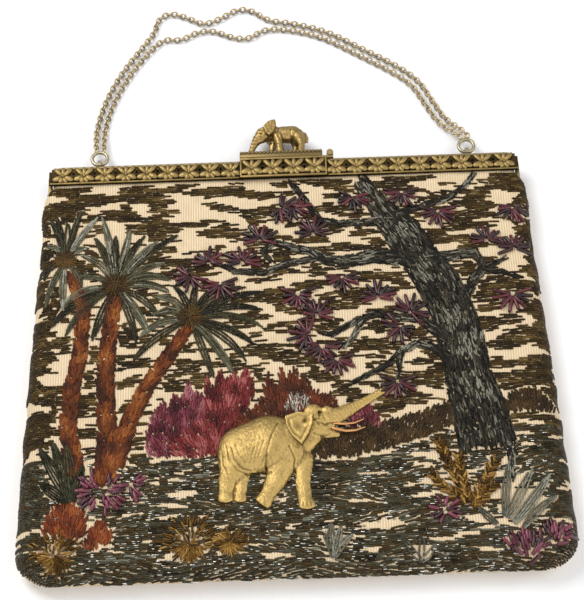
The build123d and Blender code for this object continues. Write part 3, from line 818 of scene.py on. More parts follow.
# bushes, bank and rocks: fields of stitches, each with its outline and the root that they fan out from
fields = {
    "plumBush": {
        "colours": [(50, 18, 23), (80, 30, 38), (112, 48, 57), (156, 98, 104)],
        "nodes": ["plum_bush"], "slot": "plum_thread", "metal": 0.1,
        "areas": [
            ([(-52.3, -37), (-52.3, -27), (-49.3, -19.3), (-46.3, -16), (-44.5, -19.5), (-42.5, -12.8),
              (-40.3, -16.3), (-37.6, -8.2), (-35.4, -13.1), (-33.3, -12.1), (-30.7, -20), (-36, -27),
              (-44, -30), (-44, -37.4)], (-42, -50)),
            ([(19.5, -28.7), (20.9, -23.4), (24.7, -19.5), (27.7, -19.6), (30, -22.4), (32, -28.5)],
             (26, -40)),
        ],
    },
    "redBush": {
        "colours": [(54, 16, 16), (88, 27, 27), (118, 44, 43), (164, 92, 88)],
        "nodes": ["red_bush"], "slot": "red_thread", "metal": 0.1,
        "areas": [
            ([(-44, -37.6), (-44, -29), (-36, -26), (-31.9, -20), (-30.8, -6.4), (-28.4, -10.6),
              (-25.4, -2.8), (-23.3, -8.1), (-20.6, -4.8), (-18.7, -8.3), (-16.9, -2.9), (-13.8, -8.5),
              (-13.5, -15.3), (-18, -22), (-22, -31), (-27, -38)], (-27, -52)),
        ],
    },
    "brownBush": {
        "colours": [(48, 22, 11), (76, 36, 18), (108, 51, 28)],
        "nodes": ["brown_bush"], "slot": "brown_thread", "metal": 0.1,
        "areas": [
            ([(-24, -34), (-18, -21), (-13.3, -20), (-10.8, -15.4), (-8.1, -6), (-5, -11.9), (-3.8, -3.5),
              (-0.9, -8), (1.7, -3), (3.3, -9.5), (5.8, -8.3), (8, -13.8), (11.6, -14.6), (15.2, -15.8),
              (16.8, -22), (3, -30)], (0, -52)),
        ],
    },
    "farBank": {
        "colours": [(32, 22, 8), (52, 36, 15), (76, 55, 26)],
        "nodes": ["far_bank"], "slot": "brown_thread", "metal": 0.1,
        "areas": [
            ([(4, -40), (8.6, -32), (23, -28.8), (38.7, -26), (58.4, -19.5), (60, -28), (49, -32.5),
              (34.6, -36.8), (20, -40)], (10, -110)),
            ([(74, -24.4), (76.4, -20), (81.5, -16.2), (86.4, -15.6), (91, -18), (95, -24.4)], (85, -50)),
        ],
    },
    "rocks": {
        "colours": [(68, 28, 12), (108, 49, 21), (144, 76, 38)],
        "nodes": ["rocks"], "slot": "rust_thread", "metal": 0.1,
        "areas": [
            ([(-89, -66), (-86.5, -58), (-82.5, -54), (-77.8, -54.2), (-73, -60), (-73.6, -67),
              (-76.2, -69)], (-80, -76)),
            ([(-74, -71.4), (-71.1, -63), (-68, -61.6), (-64.2, -66.6), (-65, -71.4)], (-69, -80)),
        ],
    },
    "silverPatch": {
        "colours": [(86, 83, 74), (136, 132, 120), (188, 185, 172)],
        "nodes": [], "slot": "slate_thread", "metal": 0.6,
        "areas": [([(-2.8, -21), (-0.5, -15.4), (3.2, -14), (6.5, -17), (6, -22)], (2, -40))],
    },
}


def makeFields():
    spec = threadSpec(long=3.2, gap=0.7, loose=10, patch=5.0, lift=0.3, contrast=0.8, size=(0.82, 0.8))
    for name, field in fields.items():
        bm = bmesh.new()
        for points, root in field["areas"]:
            fillField(bm, points, spec, root)
        thread = threadMaterial(name + "Thread", field["colours"], field["metal"], 0.42)
        finishMotif(bm, name, thread, field["nodes"], False)


makeFields()
print("bushes stitched")


# plants by the water: tufts of straw, ferns and single leaves
plants = {
    "gold": {
        "colours": [(44, 28, 7), (76, 52, 16), (114, 82, 32), (164, 128, 66)],
        "metal": 0.45, "nodes": ["gold_grass"], "slot": "gold_thread",
        "tufts": [(-83.5, -74.5, 10), (-37, -71.5, 11.5), (-23, -72, 6.5)],  # x, y and reach
        "fern": (61.1, -62),
        "fernTips": [(51.3, -34), (58.5, -41), (72, -43), (47.5, -47.5), (71, -52), (66.5, -58)],
        "leaves": [],
    },
    "green": {
        "colours": [(22, 21, 11), (40, 39, 22), (66, 65, 43), (98, 99, 76)],
        "metal": 0.15, "nodes": ["green_blades"], "slot": "frond_thread", "tufts": [], "fernTips": [],
        "leaves": [  # base, tip and width
            ((-79, -54), (-91, -32.5), 4.0), ((-79, -54), (-86.2, -30), 3.8),
            ((-78.5, -54), (-81, -32), 3.6), ((-80, -54), (-90.5, -46), 4.0),
            ((-78, -54), (-74.5, -40), 3.2),
        ],
    },
    "silver": {
        "colours": [(66, 65, 56), (102, 101, 88), (148, 147, 132)],
        "metal": 0.4, "nodes": [], "slot": "slate_thread", "tufts": [], "fernTips": [],
        "leaves": [
            ((12.6, -78), (9.6, -69.5), 2.6), ((12.8, -78), (12.6, -65), 2.6),
            ((13, -78), (19.8, -70), 2.8), ((13, -78), (16, -66.5), 2.2),
            ((43, -80), (38, -73), 1.8), ((43, -80), (44, -71.5), 1.8),
            ((43, -80), (48.5, -74), 1.8), ((74, -66), (84.5, -47), 2.8), ((76, -68), (91, -49), 3.0),
            ((73, -65), (76.5, -44), 2.4), ((79, -70), (92, -58), 2.4), ((70, -68), (63.5, -61), 2.2),
        ],
    },
}
growth = {
    "straws": 10, "strawVary": (0.75, 1.05), "lowFrom": -0.2, "lowShare": 0.62, "bareShare": 0.25,
    "core": 0.55, "leafTones": (0.2, 0.35, 0.55, 0.75), "leafBend": 1, "fernStep": 1.5, "fernFrom": 0.12,
    "fernAngle": (26, 48), "fernLong": (2.6, 4.0), "fernSize": (1.0, 0.95), "fernLift": 0.6,
}


def addTuft(target, x, y, reach, spec):  # straws in a spiral, with water under their tips
    straws = reach * growth["straws"]
    for k in range(int(straws)):
        angle = k * goldenTurn
        low = math.sin(math.radians(angle)) <= growth["lowFrom"]
        out = reach * math.sqrt((k + 2) / straws) * (growth["lowShare"] if low else 1.0)
        spot = Vector((x, y)) + bearing(angle) * out * dice.uniform(*growth["strawVary"])
        if dice.random() > growth["bareShare"] * out / reach:
            shade = patchShade(spot.x, spot.y, spec)
            shortStitch(target, spot.x, spot.y, angle, spec, shade, out < reach * growth["core"])


def addFern(target, base, tip):
    run = Vector(tip) - Vector(base)
    angle = angleOf(run.x, run.y)
    pairs = run.length / growth["fernStep"]
    for k in range(int(pairs)):
        spot = Vector(base) + run * (growth["fernFrom"] + (1 - growth["fernFrom"]) * k / pairs)
        for side in (-1, 1):
            turned = angle + side * dice.uniform(*growth["fernAngle"])
            leafTip = spot + bearing(turned) * dice.uniform(*growth["fernLong"])
            lay(target, stitch, spot, leafTip, growth["fernSize"], growth["fernLift"], dice.random())


def makePlants():
    spec = threadSpec(lift=0.55, long=3.3, size=(0.7, 0.85), patch=4.0)
    for name, plant in plants.items():
        bm = bmesh.new()
        for x, y, reach in plant["tufts"]:
            addTuft(bm, x, y, reach, spec)
        for tip in plant["fernTips"]:
            addFern(bm, plant["fern"], tip)
        for base, tip, width in plant["leaves"]:
            tone = dice.choice(growth["leafTones"])
            bend = dice.uniform(-growth["leafBend"], growth["leafBend"])
            fillLeaf(bm, base, tip, width, spec, tone, bend)
        thread = threadMaterial(name + "Thread", plant["colours"], plant["metal"], 0.38)
        finishMotif(bm, name + "Plants", thread, plant["nodes"], False)


makePlants()
print("plants stitched")


# bugle beads: blossom on the tree, tufts by the water
blossoms = {
    "places": [  # x, y and the way the spray opens
        (26.5, 70.9, -100), (45.5, 72.4, -90), (58.8, 63.1, -90), (87.5, 63.7, -90), (76.5, 49.4, 90),
        (86.6, 45, 90), (10.4, 55.5, 90), (2.8, 67.7, -60), (20.6, 33.5, -90), (3.8, 26.6, -90),
        (33.6, 24.5, 90), (83.8, 23.3, -90), (10.6, 17.7, 90), (45.1, 17.6, 60), (41, 11.4, -120),
        (6.9, 9.4, 180), (11.9, 4.1, -90), (17.2, -1.5, -90), (38.8, -11.6, -90), (-1.9, 67.5, -20),
        (-9.9, 53.2, 90), (-29.8, 43, 90), (-16.9, 42.9, 90), (-36.6, 36.6, -130), (-25.3, 32.3, -90),
    ],
    "tufts": [  # x, y, beads, reach, first and last angle
        (-69.2, -50.5, 16, 7.5, 105, 265), (-67.4, -51, 15, 7.5, -85, 75), (-58, -49, 7, 3.6, -70, 70),
        (52.3, -62, 10, 4.0, 0, 360), (80, -82, 24, 12, 40, 140), (89, -77, 16, 9, 30, 120),
    ],
    "long": 6.0, "longVary": (0.75, 1.15), "size": (1.4, 1.45), "beads": 10, "spread": 215, "stray": 7,
    "heart": (0.5, 1.3), "lift": 0.6, "liftVary": 0.35,
    "tuftLong": (3.2, 4.6), "tuftStray": 20, "tuftReach": 0.75, "tuftStart": 0.3, "tuftStep": 0.618,
    "plum": [(20, 3, 6), (50, 11, 18), (92, 32, 40)], "violet": [(40, 9, 19), (80, 24, 40), (122, 56, 74)],
}


def bead(target, spot, angle, long):
    lift = blossoms["lift"] + dice.uniform(0, blossoms["liftVary"])
    lay(target, bugle, spot, spot + bearing(angle) * long, blossoms["size"], lift, dice.random())


def makeBlossoms():
    sprays = bmesh.new()
    tufts = bmesh.new()
    stray = blossoms["stray"]
    tuftStray = blossoms["tuftStray"]
    for x, y, way in blossoms["places"]:
        for k in range(blossoms["beads"]):
            angle = way + blossoms["spread"] * (k / (blossoms["beads"] - 1) - 0.5)
            angle += dice.uniform(-stray, stray)
            spot = Vector((x, y)) + bearing(angle) * dice.uniform(*blossoms["heart"])
            bead(sprays, spot, angle, blossoms["long"] * dice.uniform(*blossoms["longVary"]))
    for x, y, count, reach, first, last in blossoms["tufts"]:
        for k in range(count):
            angle = first + (last - first) * ((k * blossoms["tuftStep"]) % 1.0)
            out = reach * math.sqrt((k + blossoms["tuftStart"]) / count) * blossoms["tuftReach"]
            spot = Vector((x, y)) + bearing(angle) * out
            turned = angle + dice.uniform(-tuftStray, tuftStray)
            bead(tufts, spot, turned, dice.uniform(*blossoms["tuftLong"]))
    plumGlass = beadMaterial("plumGlass", blossoms["plum"])
    violetGlass = beadMaterial("violetGlass", blossoms["violet"])
    finishMotif(sprays, "blossomBeads", plumGlass, ["bead_flowers"], True)
    finishMotif(tufts, "waterBeads", violetGlass, ["plum_beads"], False)


makeBlossoms()
print("beads sewn")


# sky and water: rows of dashes that leave the silk bare in streaks
rows = {  # a patch of noise is its length, its height and its layer
    "sky": {
        "pitch": 0.84, "long": (2.8, 5.6), "size": (0.88, 0.85), "tilt": 0.22, "bare": -0.1,
        "cloud": (15.0, 4.4, 2.0), "fine": (6.0, 1.9, 4.0),
    },
    "water": {
        "pitch": 0.74, "long": (2.6, 5.2), "size": (0.86, 0.8), "tilt": 0.36, "bare": -0.31,
        "cloud": (18.0, 3.0, 9.0), "fine": (7.0, 1.6, 4.0),
    },
    "glint": {"long": (0.9, 2.0), "size": (0.38, 0.55), "lift": 0.36, "share": 0.28},
    "first": 0.6, "last": 80.6, "inset": 2.0, "edge": 14, "edgeLong": (1.6, 2.4), "overlap": 0.88,
    "lift": 0.1, "lean": (22.0, 9.0, 7.0), "stray": 0.05, "drift": (17.0, 17.0, 3.0), "driftFar": 2.6,
    "fineShare": 0.42, "probes": (0.15, 0.5, 0.85),
    "tone": (14.0, 3.0, 5.0), "toneShare": 0.5, "toneVary": 0.3, "sparkle": (16.0, 6.0, 8.0),
    "hem": (0.6, 4, 11), "sideHem": (0.16, 6, 12),  # how much fuller, and where that ends
    "shore": -37.5, "shoreDip": (2.5, -60, 5), "shoreRise": (9.5, 10, 58),
    "plaqueMiddle": (-11, -35), "plaqueHalf": (13, 10), "plaqueShare": 0.8,
    "brown": [(28, 19, 5), (47, 34, 11), (68, 51, 19), (108, 87, 46)],
    "slate": [(22, 16, 5), (42, 33, 14), (70, 69, 54), (66, 49, 20), (44, 39, 24), (126, 126, 110)],
    "silver": [(126, 126, 118), (182, 182, 174), (234, 233, 226)],
}


def streak(u, t, patch):
    return waver(u / patch[0], t / patch[1], patch[2])


def horizon(x):
    dip, dipFrom, dipTo = rows["shoreDip"]
    rise, riseFrom, riseTo = rows["shoreRise"]
    return rows["shore"] - dip * ease(dipFrom, dipTo, x) + rise * ease(riseFrom, riseTo, x)


def underPlaque(x, y):
    (midX, midY), (halfX, halfY) = rows["plaqueMiddle"], rows["plaqueHalf"]
    return (x - midX) ** 2 / halfX ** 2 + (y - midY) ** 2 / halfY ** 2 < rows["plaqueShare"]


def fuller(hem, inward):
    share, near, far = hem
    return share * (1 - ease(near, far, inward))


def makeRows():
    sky = bmesh.new()
    water = bmesh.new()
    glint = bmesh.new()
    spark = rows["glint"]
    t = rows["first"]
    while t < reachUp(rows["last"]):
        y = upCloth(t)
        reach = reachAcross(y)
        u = -reach + dice.uniform(0, rows["inset"])
        while u < reach:
            x = acrossCloth(u, y)
            wet = y < horizon(x)
            row = rows["water" if wet else "sky"]
            inward = reach - abs(u)
            onEdge = inward < rows["edge"]
            long = dice.uniform(*(rows["edgeLong"] if onEdge else row["long"]))
            lean = row["tilt"] * streak(u, t, rows["lean"]) + dice.gauss(0, rows["stray"])
            endX = acrossCloth(u + long, y)
            endY = max(y + lean * long, cloth["bottom"])
            drift = t + rows["driftFar"] * streak(u, t, rows["drift"])
            cloud = streak(u, drift, row["cloud"]) + rows["fineShare"] * streak(u, t, row["fine"])
            hidden = sum((round(x + (endX - x) * k), round(y)) in covered for k in rows["probes"])
            bare = row["bare"] - fuller(rows["hem"], t) - fuller(rows["sideHem"], inward)
            if cloud > bare and hidden < 2 and not underPlaque((x + endX) / 2, y):
                shade = 0.5 + rows["toneShare"] * streak(u, t, rows["tone"])
                shade += dice.uniform(-rows["toneVary"], rows["toneVary"])
                ground = water if wet else sky
                lay(ground, stitch, (x, y), (endX, endY), row["size"], rows["lift"], shade, False)
                sparkle = 0.5 + streak(u, t, rows["sparkle"])
                if wet and not onEdge and dice.random() < spark["share"] * 2 * sparkle:
                    spot = dice.uniform(x, endX)
                    far = spot + dice.uniform(*spark["long"])
                    shade = dice.random()
                    lay(glint, stitch, (spot, y), (far, y), spark["size"], spark["lift"], shade, False)
            u += long * rows["overlap"]
        t += row["pitch"]
    skyThread = threadMaterial("skyThread", rows["brown"])
    waterThread = threadMaterial("waterThread", rows["slate"], 0.15, 0.45)
    glintThread = threadMaterial("glintThread", rows["silver"], 0.85, 0.22)
    finishMotif(sky, "skyDashes", skyThread, ["sky_dashes"], True)
    finishMotif(water, "waterDashes", waterThread, ["water_dashes"], False)
    finishMotif(glint, "waterGlints", glintThread, [], False)


makeRows()
print("sky and water stitched")


# metal figures: limbs and ears are joined by a remesh and smoothed, then the skin is worked
# how strongly folds take painted shade and raised skin looks worn
wearAndShadeLook = {"flat": 0.72, "least": -0.2, "most": 1.1, "sweeps": 3}


def addLimb(bm, start, end):
    a = Vector(start[:3])
    b = Vector(end[:3])
    turn = (b - a).to_track_quat("Z", "Y").to_matrix().to_4x4()
    bmesh.ops.create_icosphere(bm, subdivisions=3, radius=start[3], matrix=Matrix.Translation(a))
    bmesh.ops.create_icosphere(bm, subdivisions=3, radius=end[3], matrix=Matrix.Translation(b))
    bmesh.ops.create_cone(bm, segments=24, radius1=start[3], radius2=end[3], depth=(b - a).length,
                          cap_ends=True, matrix=Matrix.Translation((a + b) / 2) @ turn)


def addFlap(bm, points, low, high):  # a flat ear
    face = bm.faces.new([bm.verts.new((x, y, low)) for x, y in points])
    rim = bmesh.ops.extrude_face_region(bm, geom=[face])["geom"]
    raised = [v for v in rim if isinstance(v, bmesh.types.BMVert)]
    bmesh.ops.translate(bm, verts=raised, vec=(0, 0, high - low))


def castFigure(name, figure, material):
    bm = bmesh.new()
    for limb in figure["limbs"]:
        for start, end in zip(limb, limb[1:]):
            addLimb(bm, start, end)
    for points, low, high in figure["flaps"]:
        addFlap(bm, points, low, high)
    bmesh.ops.recalc_face_normals(bm, faces=bm.faces[:])
    piece = makePiece(bm, name, material)
    join = piece.modifiers.new("join", "REMESH")
    join.mode = "VOXEL"
    join.voxel_size = figure["voxel"]
    soften = piece.modifiers.new("soften", "SMOOTH")
    soften.factor = 0.5
    soften.iterations = figure["smoothing"]
    bakeModifiers(piece)
    bm = bmesh.new()
    bm.from_mesh(piece.data)
    return piece, bm


def cutFlat(bm, place, normal):
    whole = bm.verts[:] + bm.edges[:] + bm.faces[:]
    bmesh.ops.bisect_plane(bm, geom=whole, plane_co=place, plane_no=normal, clear_outer=True)
    bmesh.ops.holes_fill(bm, edges=[e for e in bm.edges if e.is_boundary])
    bm.normal_update()


def addWearAndShade(bm, strength):  # painted shade with wear: dark in the folds, where shade falls, bright on what stands out
    bm.normal_update()
    layer = bm.verts.layers.float.new("wearAndShade")
    for v in bm.verts:
        near = [e.other_vert(v).co for e in v.link_edges]
        sunk = (sum(near, Vector()) / len(near) - v.co).dot(v.normal)
        v[layer] = clamp(wearAndShadeLook["flat"] - strength * sunk, wearAndShadeLook["least"], wearAndShadeLook["most"])
    for sweep in range(wearAndShadeLook["sweeps"]):
        evened = []
        for v in bm.verts:
            around = sum(e.other_vert(v)[layer] for e in v.link_edges) / len(v.link_edges)
            evened.append((v[layer] + around) / 2)
        for v, value in zip(bm.verts, evened):
            v[layer] = value


def foldDepth(x, y, folds):
    deep = 0.0
    for line, depth, width in folds:
        for (x0, y0), (x1, y1) in zip(line, line[1:]):
            dx, dy = x1 - x0, y1 - y0
            t = clamp(((x - x0) * dx + (y - y0) * dy) / (dx * dx + dy * dy))
            far = math.hypot(x - x0 - t * dx, y - y0 - t * dy)
            if far < 3 * width:
                deep = max(deep, depth * math.exp(-(far / width) ** 2))
    return deep


def finishFigure(piece, bm, nodes, body):
    bm.transform(toMetres)
    bm.to_mesh(piece.data)
    bm.free()
    piece.data.shade_smooth()
    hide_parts(*nodes)
    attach(piece, body)


plaque = {
    "limbs": [  # x, y, z and radius
        [(-17, -36.6, 0, 10), (-8.4, -34.4, 0.5, 11.2)],
        [(-20, -38, 0.5, 7.2), (-16, -40, 0.5, 7)],
        [(-4, -33, 1.5, 8.4), (-2.6, -38, 1.8, 7.2)],
        [(0, -31, 0.5, 7), (8, -27.8, 1, 6)],
        [(7.2, -22.5, 2.8, 2.9), (8, -22.4, 2.8, 2.8)],
        [(12.6, -22.6, 2.6, 2.2), (13.2, -22.8, 2.6, 2.1)],
        [(11.4, -26.8, 4.0, 1.1), (11.8, -26.8, 4.0, 1.0)],
        [(12.5, -26, 1.5, 4), (18, -23.5, 1.5, 2.9), (24.5, -20, 1.2, 1.9), (30, -16.8, 1, 1.4),
         (33, -14.9, 1, 1.3)],
        [(8.5, -29.8, 1, 3.8), (15.8, -31.4, 0.8, 1.4)],
        [(4, -34.5, 0.5, 4.4), (8, -31.2, 0.5, 3.4)],
        [(3.2, -41, -0.4, 4.2), (3.1, -49, -0.2, 2.9), (3.6, -56, -0.2, 2.6), (4.2, -58.6, 0.2, 3.2)],
        [(-3.2, -39.5, 2, 6.2), (-6.4, -49, 2, 4.0), (-9.3, -54, 1.6, 2.7), (-10.8, -56.8, 1.8, 3.2)],
        [(-20.6, -42, 1, 6.2), (-23.6, -48.4, 1.4, 3.3), (-24.2, -53, 1.2, 2.5), (-24.2, -55.2, 1.4, 2.9)],
        [(-18.2, -45, -0.6, 3.2), (-19, -53, -0.6, 2.2), (-19.1, -55.4, -0.6, 2.4)],
    ],
    "flaps": [  # outline, bottom and top
        ([(-2.6, -25.6), (2.2, -24.0), (7.9, -24.9), (7.2, -28.8), (5.8, -32.6), (3.1, -36.9),
          (0, -33.6), (-1.9, -30)], 5.0, 10.6),
    ],
    "flat": 0.45, "back": -0.6, "skin": 0.1, "seat": 12.9, "voxel": 0.34, "smoothing": 3, "wearAndShade": 9.0,
    "folds": [  # line, depth and width
        ([(-24, -36), (-23.2, -41), (-20, -45.4), (-16, -47)], 0.5, 0.26),
        ([(-22.2, -37), (-21, -41.6), (-18, -44.8), (-15, -45.6)], 0.4, 0.24),
        ([(-25.4, -38.6), (-25.2, -43), (-23.4, -46.6)], 0.4, 0.24),
        ([(-20.6, -36), (-19.4, -40), (-17, -43)], 0.35, 0.3),
        ([(-5, -27.6), (-7.4, -33), (-9.4, -39), (-9.9, -46)], 0.7, 0.34),
        ([(-10.2, -35), (-12.6, -41.6)], 0.35, 0.3),
        ([(-11.8, -36), (-14.2, -43)], 0.35, 0.3),
        ([(-8.8, -37), (-11, -42.6)], 0.35, 0.3),
        ([(-13.6, -37.4), (-15.6, -43)], 0.3, 0.3),
        ([(-15, -46.6), (-8, -46.6)], 0.5, 0.4),
        ([(7.6, -31.8), (11, -33.2), (13.6, -31.8)], 0.5, 0.4),
        ([(9.2, -27), (12, -28.4), (16, -28)], 0.9, 0.5),
        ([(10.1, -23), (9.9, -26)], 1.0, 0.55),
        ([(9.4, -27.4), (9.8, -28)], 1.2, 0.7),
        ([(-1.2, -37), (0.6, -42), (0.3, -48)], 0.6, 0.36),
        ([(-1.2, -26.8), (2.2, -25.4), (6.4, -26), (5.6, -29.4), (3, -34.6), (0.6, -32.4), (-0.8, -29.6),
          (-1.2, -26.8)], 0.45, 0.5),
        ([(8.4, -26.4), (9.2, -25.4)], 1.1, 0.8),
        ([(2.6, -59.4), (2.9, -57.8)], 0.4, 0.25),
        ([(4.2, -59.6), (4.4, -57.8)], 0.4, 0.25),
        ([(5.8, -59.2), (5.8, -57.6)], 0.4, 0.25),
        ([(-12.4, -58), (-11.8, -56.4)], 0.4, 0.25),
        ([(-10.6, -59), (-10.2, -57.2)], 0.4, 0.25),
    ],
    "soles": (  # for x up to a limit: the foot's x, its y and slope
        (-21.6, -24.2, -57.0, 0.0), (-16, -19.1, -56.6, 0.0), (-5.5, -10.8, -59.0, -0.6),
        (40, 4.2, -60.4, 0.0),
    ),
    "soleFrom": -50, "soleHalf": 5, "soleCurve": 0.12,
    "hair": ((0.13, 0.8, 1.5, 0), (0.12, 0.5, 0.8, 5)),  # depth, width, length and noise layer
    "rings": 0.06, "ringTurn": 4.6, "ringLean": 0.45, "ringsFrom": 15, "ringsTo": 20, "ringsAbove": -29,
    "earFrom": 6.0,
    "earHollows": (((3.2, -29), 1.6, 5.0), ((4.6, -27), 2.6, 1.3)),  # place, depth and spread
}
tusks = {
    "limbs": [
        [(14.5, -29.6, 14.6, 0.6), (19, -31, 14.8, 0.55), (22.6, -30.9, 14.9, 0.45), (26, -29.8, 15, 0.25)],
        [(14.8, -27.4, 14.2, 0.55), (19, -28, 14.3, 0.5), (22.4, -27.7, 14.4, 0.42),
         (25.6, -26.4, 14.5, 0.25)],
    ],
    "flaps": [], "voxel": 0.16, "smoothing": 3,
}


def plaqueSkin(x, y):  # hair, rings on the trunk and folds
    grain = sum(depth * waver(x / wide, y / long, layer) for depth, wide, long, layer in plaque["hair"])
    rings = 0.0
    if y > plaque["ringsAbove"]:
        turn = math.sin(plaque["ringTurn"] * (x + plaque["ringLean"] * y))
        rings = plaque["rings"] * turn * ease(plaque["ringsFrom"], plaque["ringsTo"], x)
    return grain + rings - foldDepth(x, y, plaque["folds"])


def makePlaque():
    piece, bm = castFigure("plaqueElephant", plaque, metalOf["giltBrass"])
    cutFlat(bm, (0, 0, plaque["back"]), (0, 0, -1))
    for v in bm.verts:
        x, y, z = v.co
        footX, footY, slope = next(sole[1:] for sole in plaque["soles"] if x < sole[0])
        aside = x - footX
        if y < plaque["soleFrom"] and abs(aside) < plaque["soleHalf"]:
            v.co.y = max(y, footY + slope * aside + plaque["soleCurve"] * aside ** 2)
        if z > plaque["back"] + plaque["skin"]:
            v.co += v.normal * plaqueSkin(x, y)
        if z > plaque["earFrom"]:
            for (atX, atY), depth, spread in plaque["earHollows"]:
                v.co.z -= depth * math.exp(-((x - atX) ** 2 + (y - atY) ** 2) / spread)
    # painted shade with patina in the folds, brighter worn metal where the skin stands out
    addWearAndShade(bm, plaque["wearAndShade"])
    for v in bm.verts:
        v.co.z = plaque["seat"] + (v.co.z - plaque["back"]) * plaque["flat"]
    finishFigure(piece, bm, ["elephant_plaque"], "back_half")
    pair, bm = castFigure("elephantTusks", tusks, metalOf["copperWire"])
    finishFigure(pair, bm, ["elephant_tusks"], "back_half")


makePlaque()
print("plaque cast")


claspEar = [(-7.4, 106.8), (-5.2, 109), (-2.7, 109.6), (-2.3, 107.2), (-3.4, 103.8), (-5.2, 102),
            (-6.6, 103.4)]
claspFigure = {
    "limbs": [
        [(-2, 104.5, 0, 3.4), (4.2, 104.3, 0, 3.7)],
        [(5.6, 103.4, 0, 3.4), (6.6, 101.6, 0, 2.8)],
        [(-4, 104.6, 0, 2.9), (-8, 104.3, 0, 2.9)],
        [(-7.4, 106, 1, 1.8), (-8.8, 105.4, 0.9, 1.6)],
        [(-7.4, 106, -1, 1.8), (-8.8, 105.4, -0.9, 1.6)],
        [(-9.6, 103, 0, 2.1), (-11.4, 99.8, 0, 1.4), (-12.4, 97, 0, 1.1), (-13.8, 95.2, 0, 0.9),
         (-15.6, 94.6, 0, 0.8)],
        [(-8, 102.4, 0, 1.5), (-9.2, 101.4, 0, 0.9)],
        [(-2, 102.6, 2, 2.1), (-1.4, 98.8, 2.4, 1.35), (-1, 94.6, 2.5, 1.5)],
        [(-3.6, 102.6, -1.9, 1.9), (-4.2, 98.6, -2.2, 1.2), (-4.6, 94.6, -2.2, 1.4)],
        [(6, 102.2, 2, 2.3), (7.5, 98.6, 2.3, 1.35), (7.1, 94.6, 2.4, 1.5)],
        [(5, 102.2, -1.9, 2.1), (5.2, 98.6, -2.2, 1.25), (5, 94.6, -2.2, 1.4)],
        [(9.0, 104.6, 0, 0.6), (9.9, 102.2, 0, 0.5), (9.7, 100.4, 0, 0.45)],
    ],
    "flaps": [(claspEar, 2.3, 4.6), (claspEar, -4.6, -2.3)],
    "voxel": 0.24, "smoothing": 3, "middle": 6.6, "deep": 0.86, "soles": 93.0, "wearAndShade": 14.0,
    "folds": [
        ([(-1.2, 107.4), (-2, 103.6), (-0.8, 100.2)], 0.35, 0.3),
        ([(3.4, 105.4), (3, 102), (4, 99.8)], 0.3, 0.3),
        ([(-6, 102), (-4.6, 100.8)], 0.3, 0.3),
        ([(-8.8, 104), (-8.2, 103.8)], 0.5, 0.4),
    ],
    "grain": 0.12, "grainSize": 0.8, "rings": 0.12, "ringTurn": 4.2, "ringsFrom": -8, "ringsTo": -10.5,
}


def makeClaspElephant():
    piece, bm = castFigure("claspElephant", claspFigure, metalOf["castBrass"])
    cutFlat(bm, (0, claspFigure["soles"], 0), (0, -1, 0))
    for v in bm.verts:
        x, y, z = v.co
        ringed = ease(claspFigure["ringsFrom"], claspFigure["ringsTo"], x)
        rings = claspFigure["rings"] * math.sin(claspFigure["ringTurn"] * y) * ringed
        grain = claspFigure["grain"] * noise.noise(Vector((x, y, z)) / claspFigure["grainSize"])
        v.co += v.normal * (rings + grain - foldDepth(x, y, claspFigure["folds"]))
    # painted shade with patina in the folds, brighter worn metal where the skin stands out
    addWearAndShade(bm, claspFigure["wearAndShade"])
    for v in bm.verts:
        v.co.z = claspFigure["middle"] + v.co.z * claspFigure["deep"]
    finishFigure(piece, bm, ["clasp_elephant"], "clasp")


makeClaspElephant()
print("clasp elephant cast")


# frame: flowers over the pierced strips, with borders
gallery = {
    "pitch": 8.2, "middle": 85.0, "petalGap": 0.25, "petalThick": 1.2, "heart": (1.2, 1.2, 1.1),
    "heartLift": 0.3,
    "petals": [  # angle, length and width
        (90, 3.9, 1.8), (47, 5.0, 2.1), (133, 5.0, 2.1), (204, 4.3, 2.6), (336, 4.3, 2.6), (246, 3.2, 2.0),
        (294, 3.2, 2.0),
    ],
    "strip": {
        "count": 22, "clear": 19.4, "face": 11.3, "grow": 1.0,
        "borders": [(-91.4, -17.2, 81.3, 82.0, 10.9, 11.6), (17.2, 91.4, 81.3, 82.0, 10.9, 11.6)],
    },
    "plate": {
        "count": 4, "clear": 0, "face": 12.3, "grow": 1.06,
        "borders": [
            (-17, 17, 80.9, 81.8, 11.8, 12.7), (-17, 17, 89.0, 89.9, 11.8, 12.7),
            (-17, -16.2, 81, 89.8, 11.8, 12.6), (16.2, 17, 81, 89.8, 11.8, 12.6),
        ],
    },
    "ground": [  # painted shade: a dark band behind the upper petals, where the recess lies in shadow
        (-90.6, -17.1, 87.5, 88.6, 10.98, 11.1), (17.1, 90.6, 87.5, 88.6, 10.98, 11.1),
    ],
    "shadeBandRim": 0.02,
}


def petalShape():
    bm = bmesh.new()
    bmesh.ops.create_uvsphere(bm, u_segments=10, v_segments=6, radius=0.5)
    bmesh.ops.rotate(bm, matrix=Matrix.Rotation(math.pi / 2, 3, "Y"), verts=bm.verts[:])
    body, lobe, groove, grooveHalf = 0.75, 0.5, 0.2, 0.08
    for v in bm.verts:  # two lobes with a groove between them
        y = v.co.y
        v.co.z *= body + lobe * math.sin(abs(y) * 2 * math.pi) - groove * math.exp(-(y / grooveHalf) ** 2)
    return bm


petal = petalShape()
grain = bmesh.new()
bmesh.ops.create_uvsphere(grain, u_segments=8, v_segments=6, radius=0.5)


def addFlower(target, x, y, z, grow):
    for angle, length, width in gallery["petals"]:
        spot = Vector((x, y, z)) + (bearing(angle) * (length * grow / 2 + gallery["petalGap"])).to_3d()
        size = Matrix.Diagonal((length * grow, width * grow, gallery["petalThick"], 1))
        stance = Matrix.Translation(spot) @ Matrix.Rotation(math.radians(angle), 4, "Z") @ size
        repeatShape(target, petal, toMetres @ stance)
    heart = Matrix.Translation((x, y, z + gallery["heartLift"])) @ Matrix.Diagonal((*gallery["heart"], 1))
    repeatShape(target, grain, toMetres @ heart)


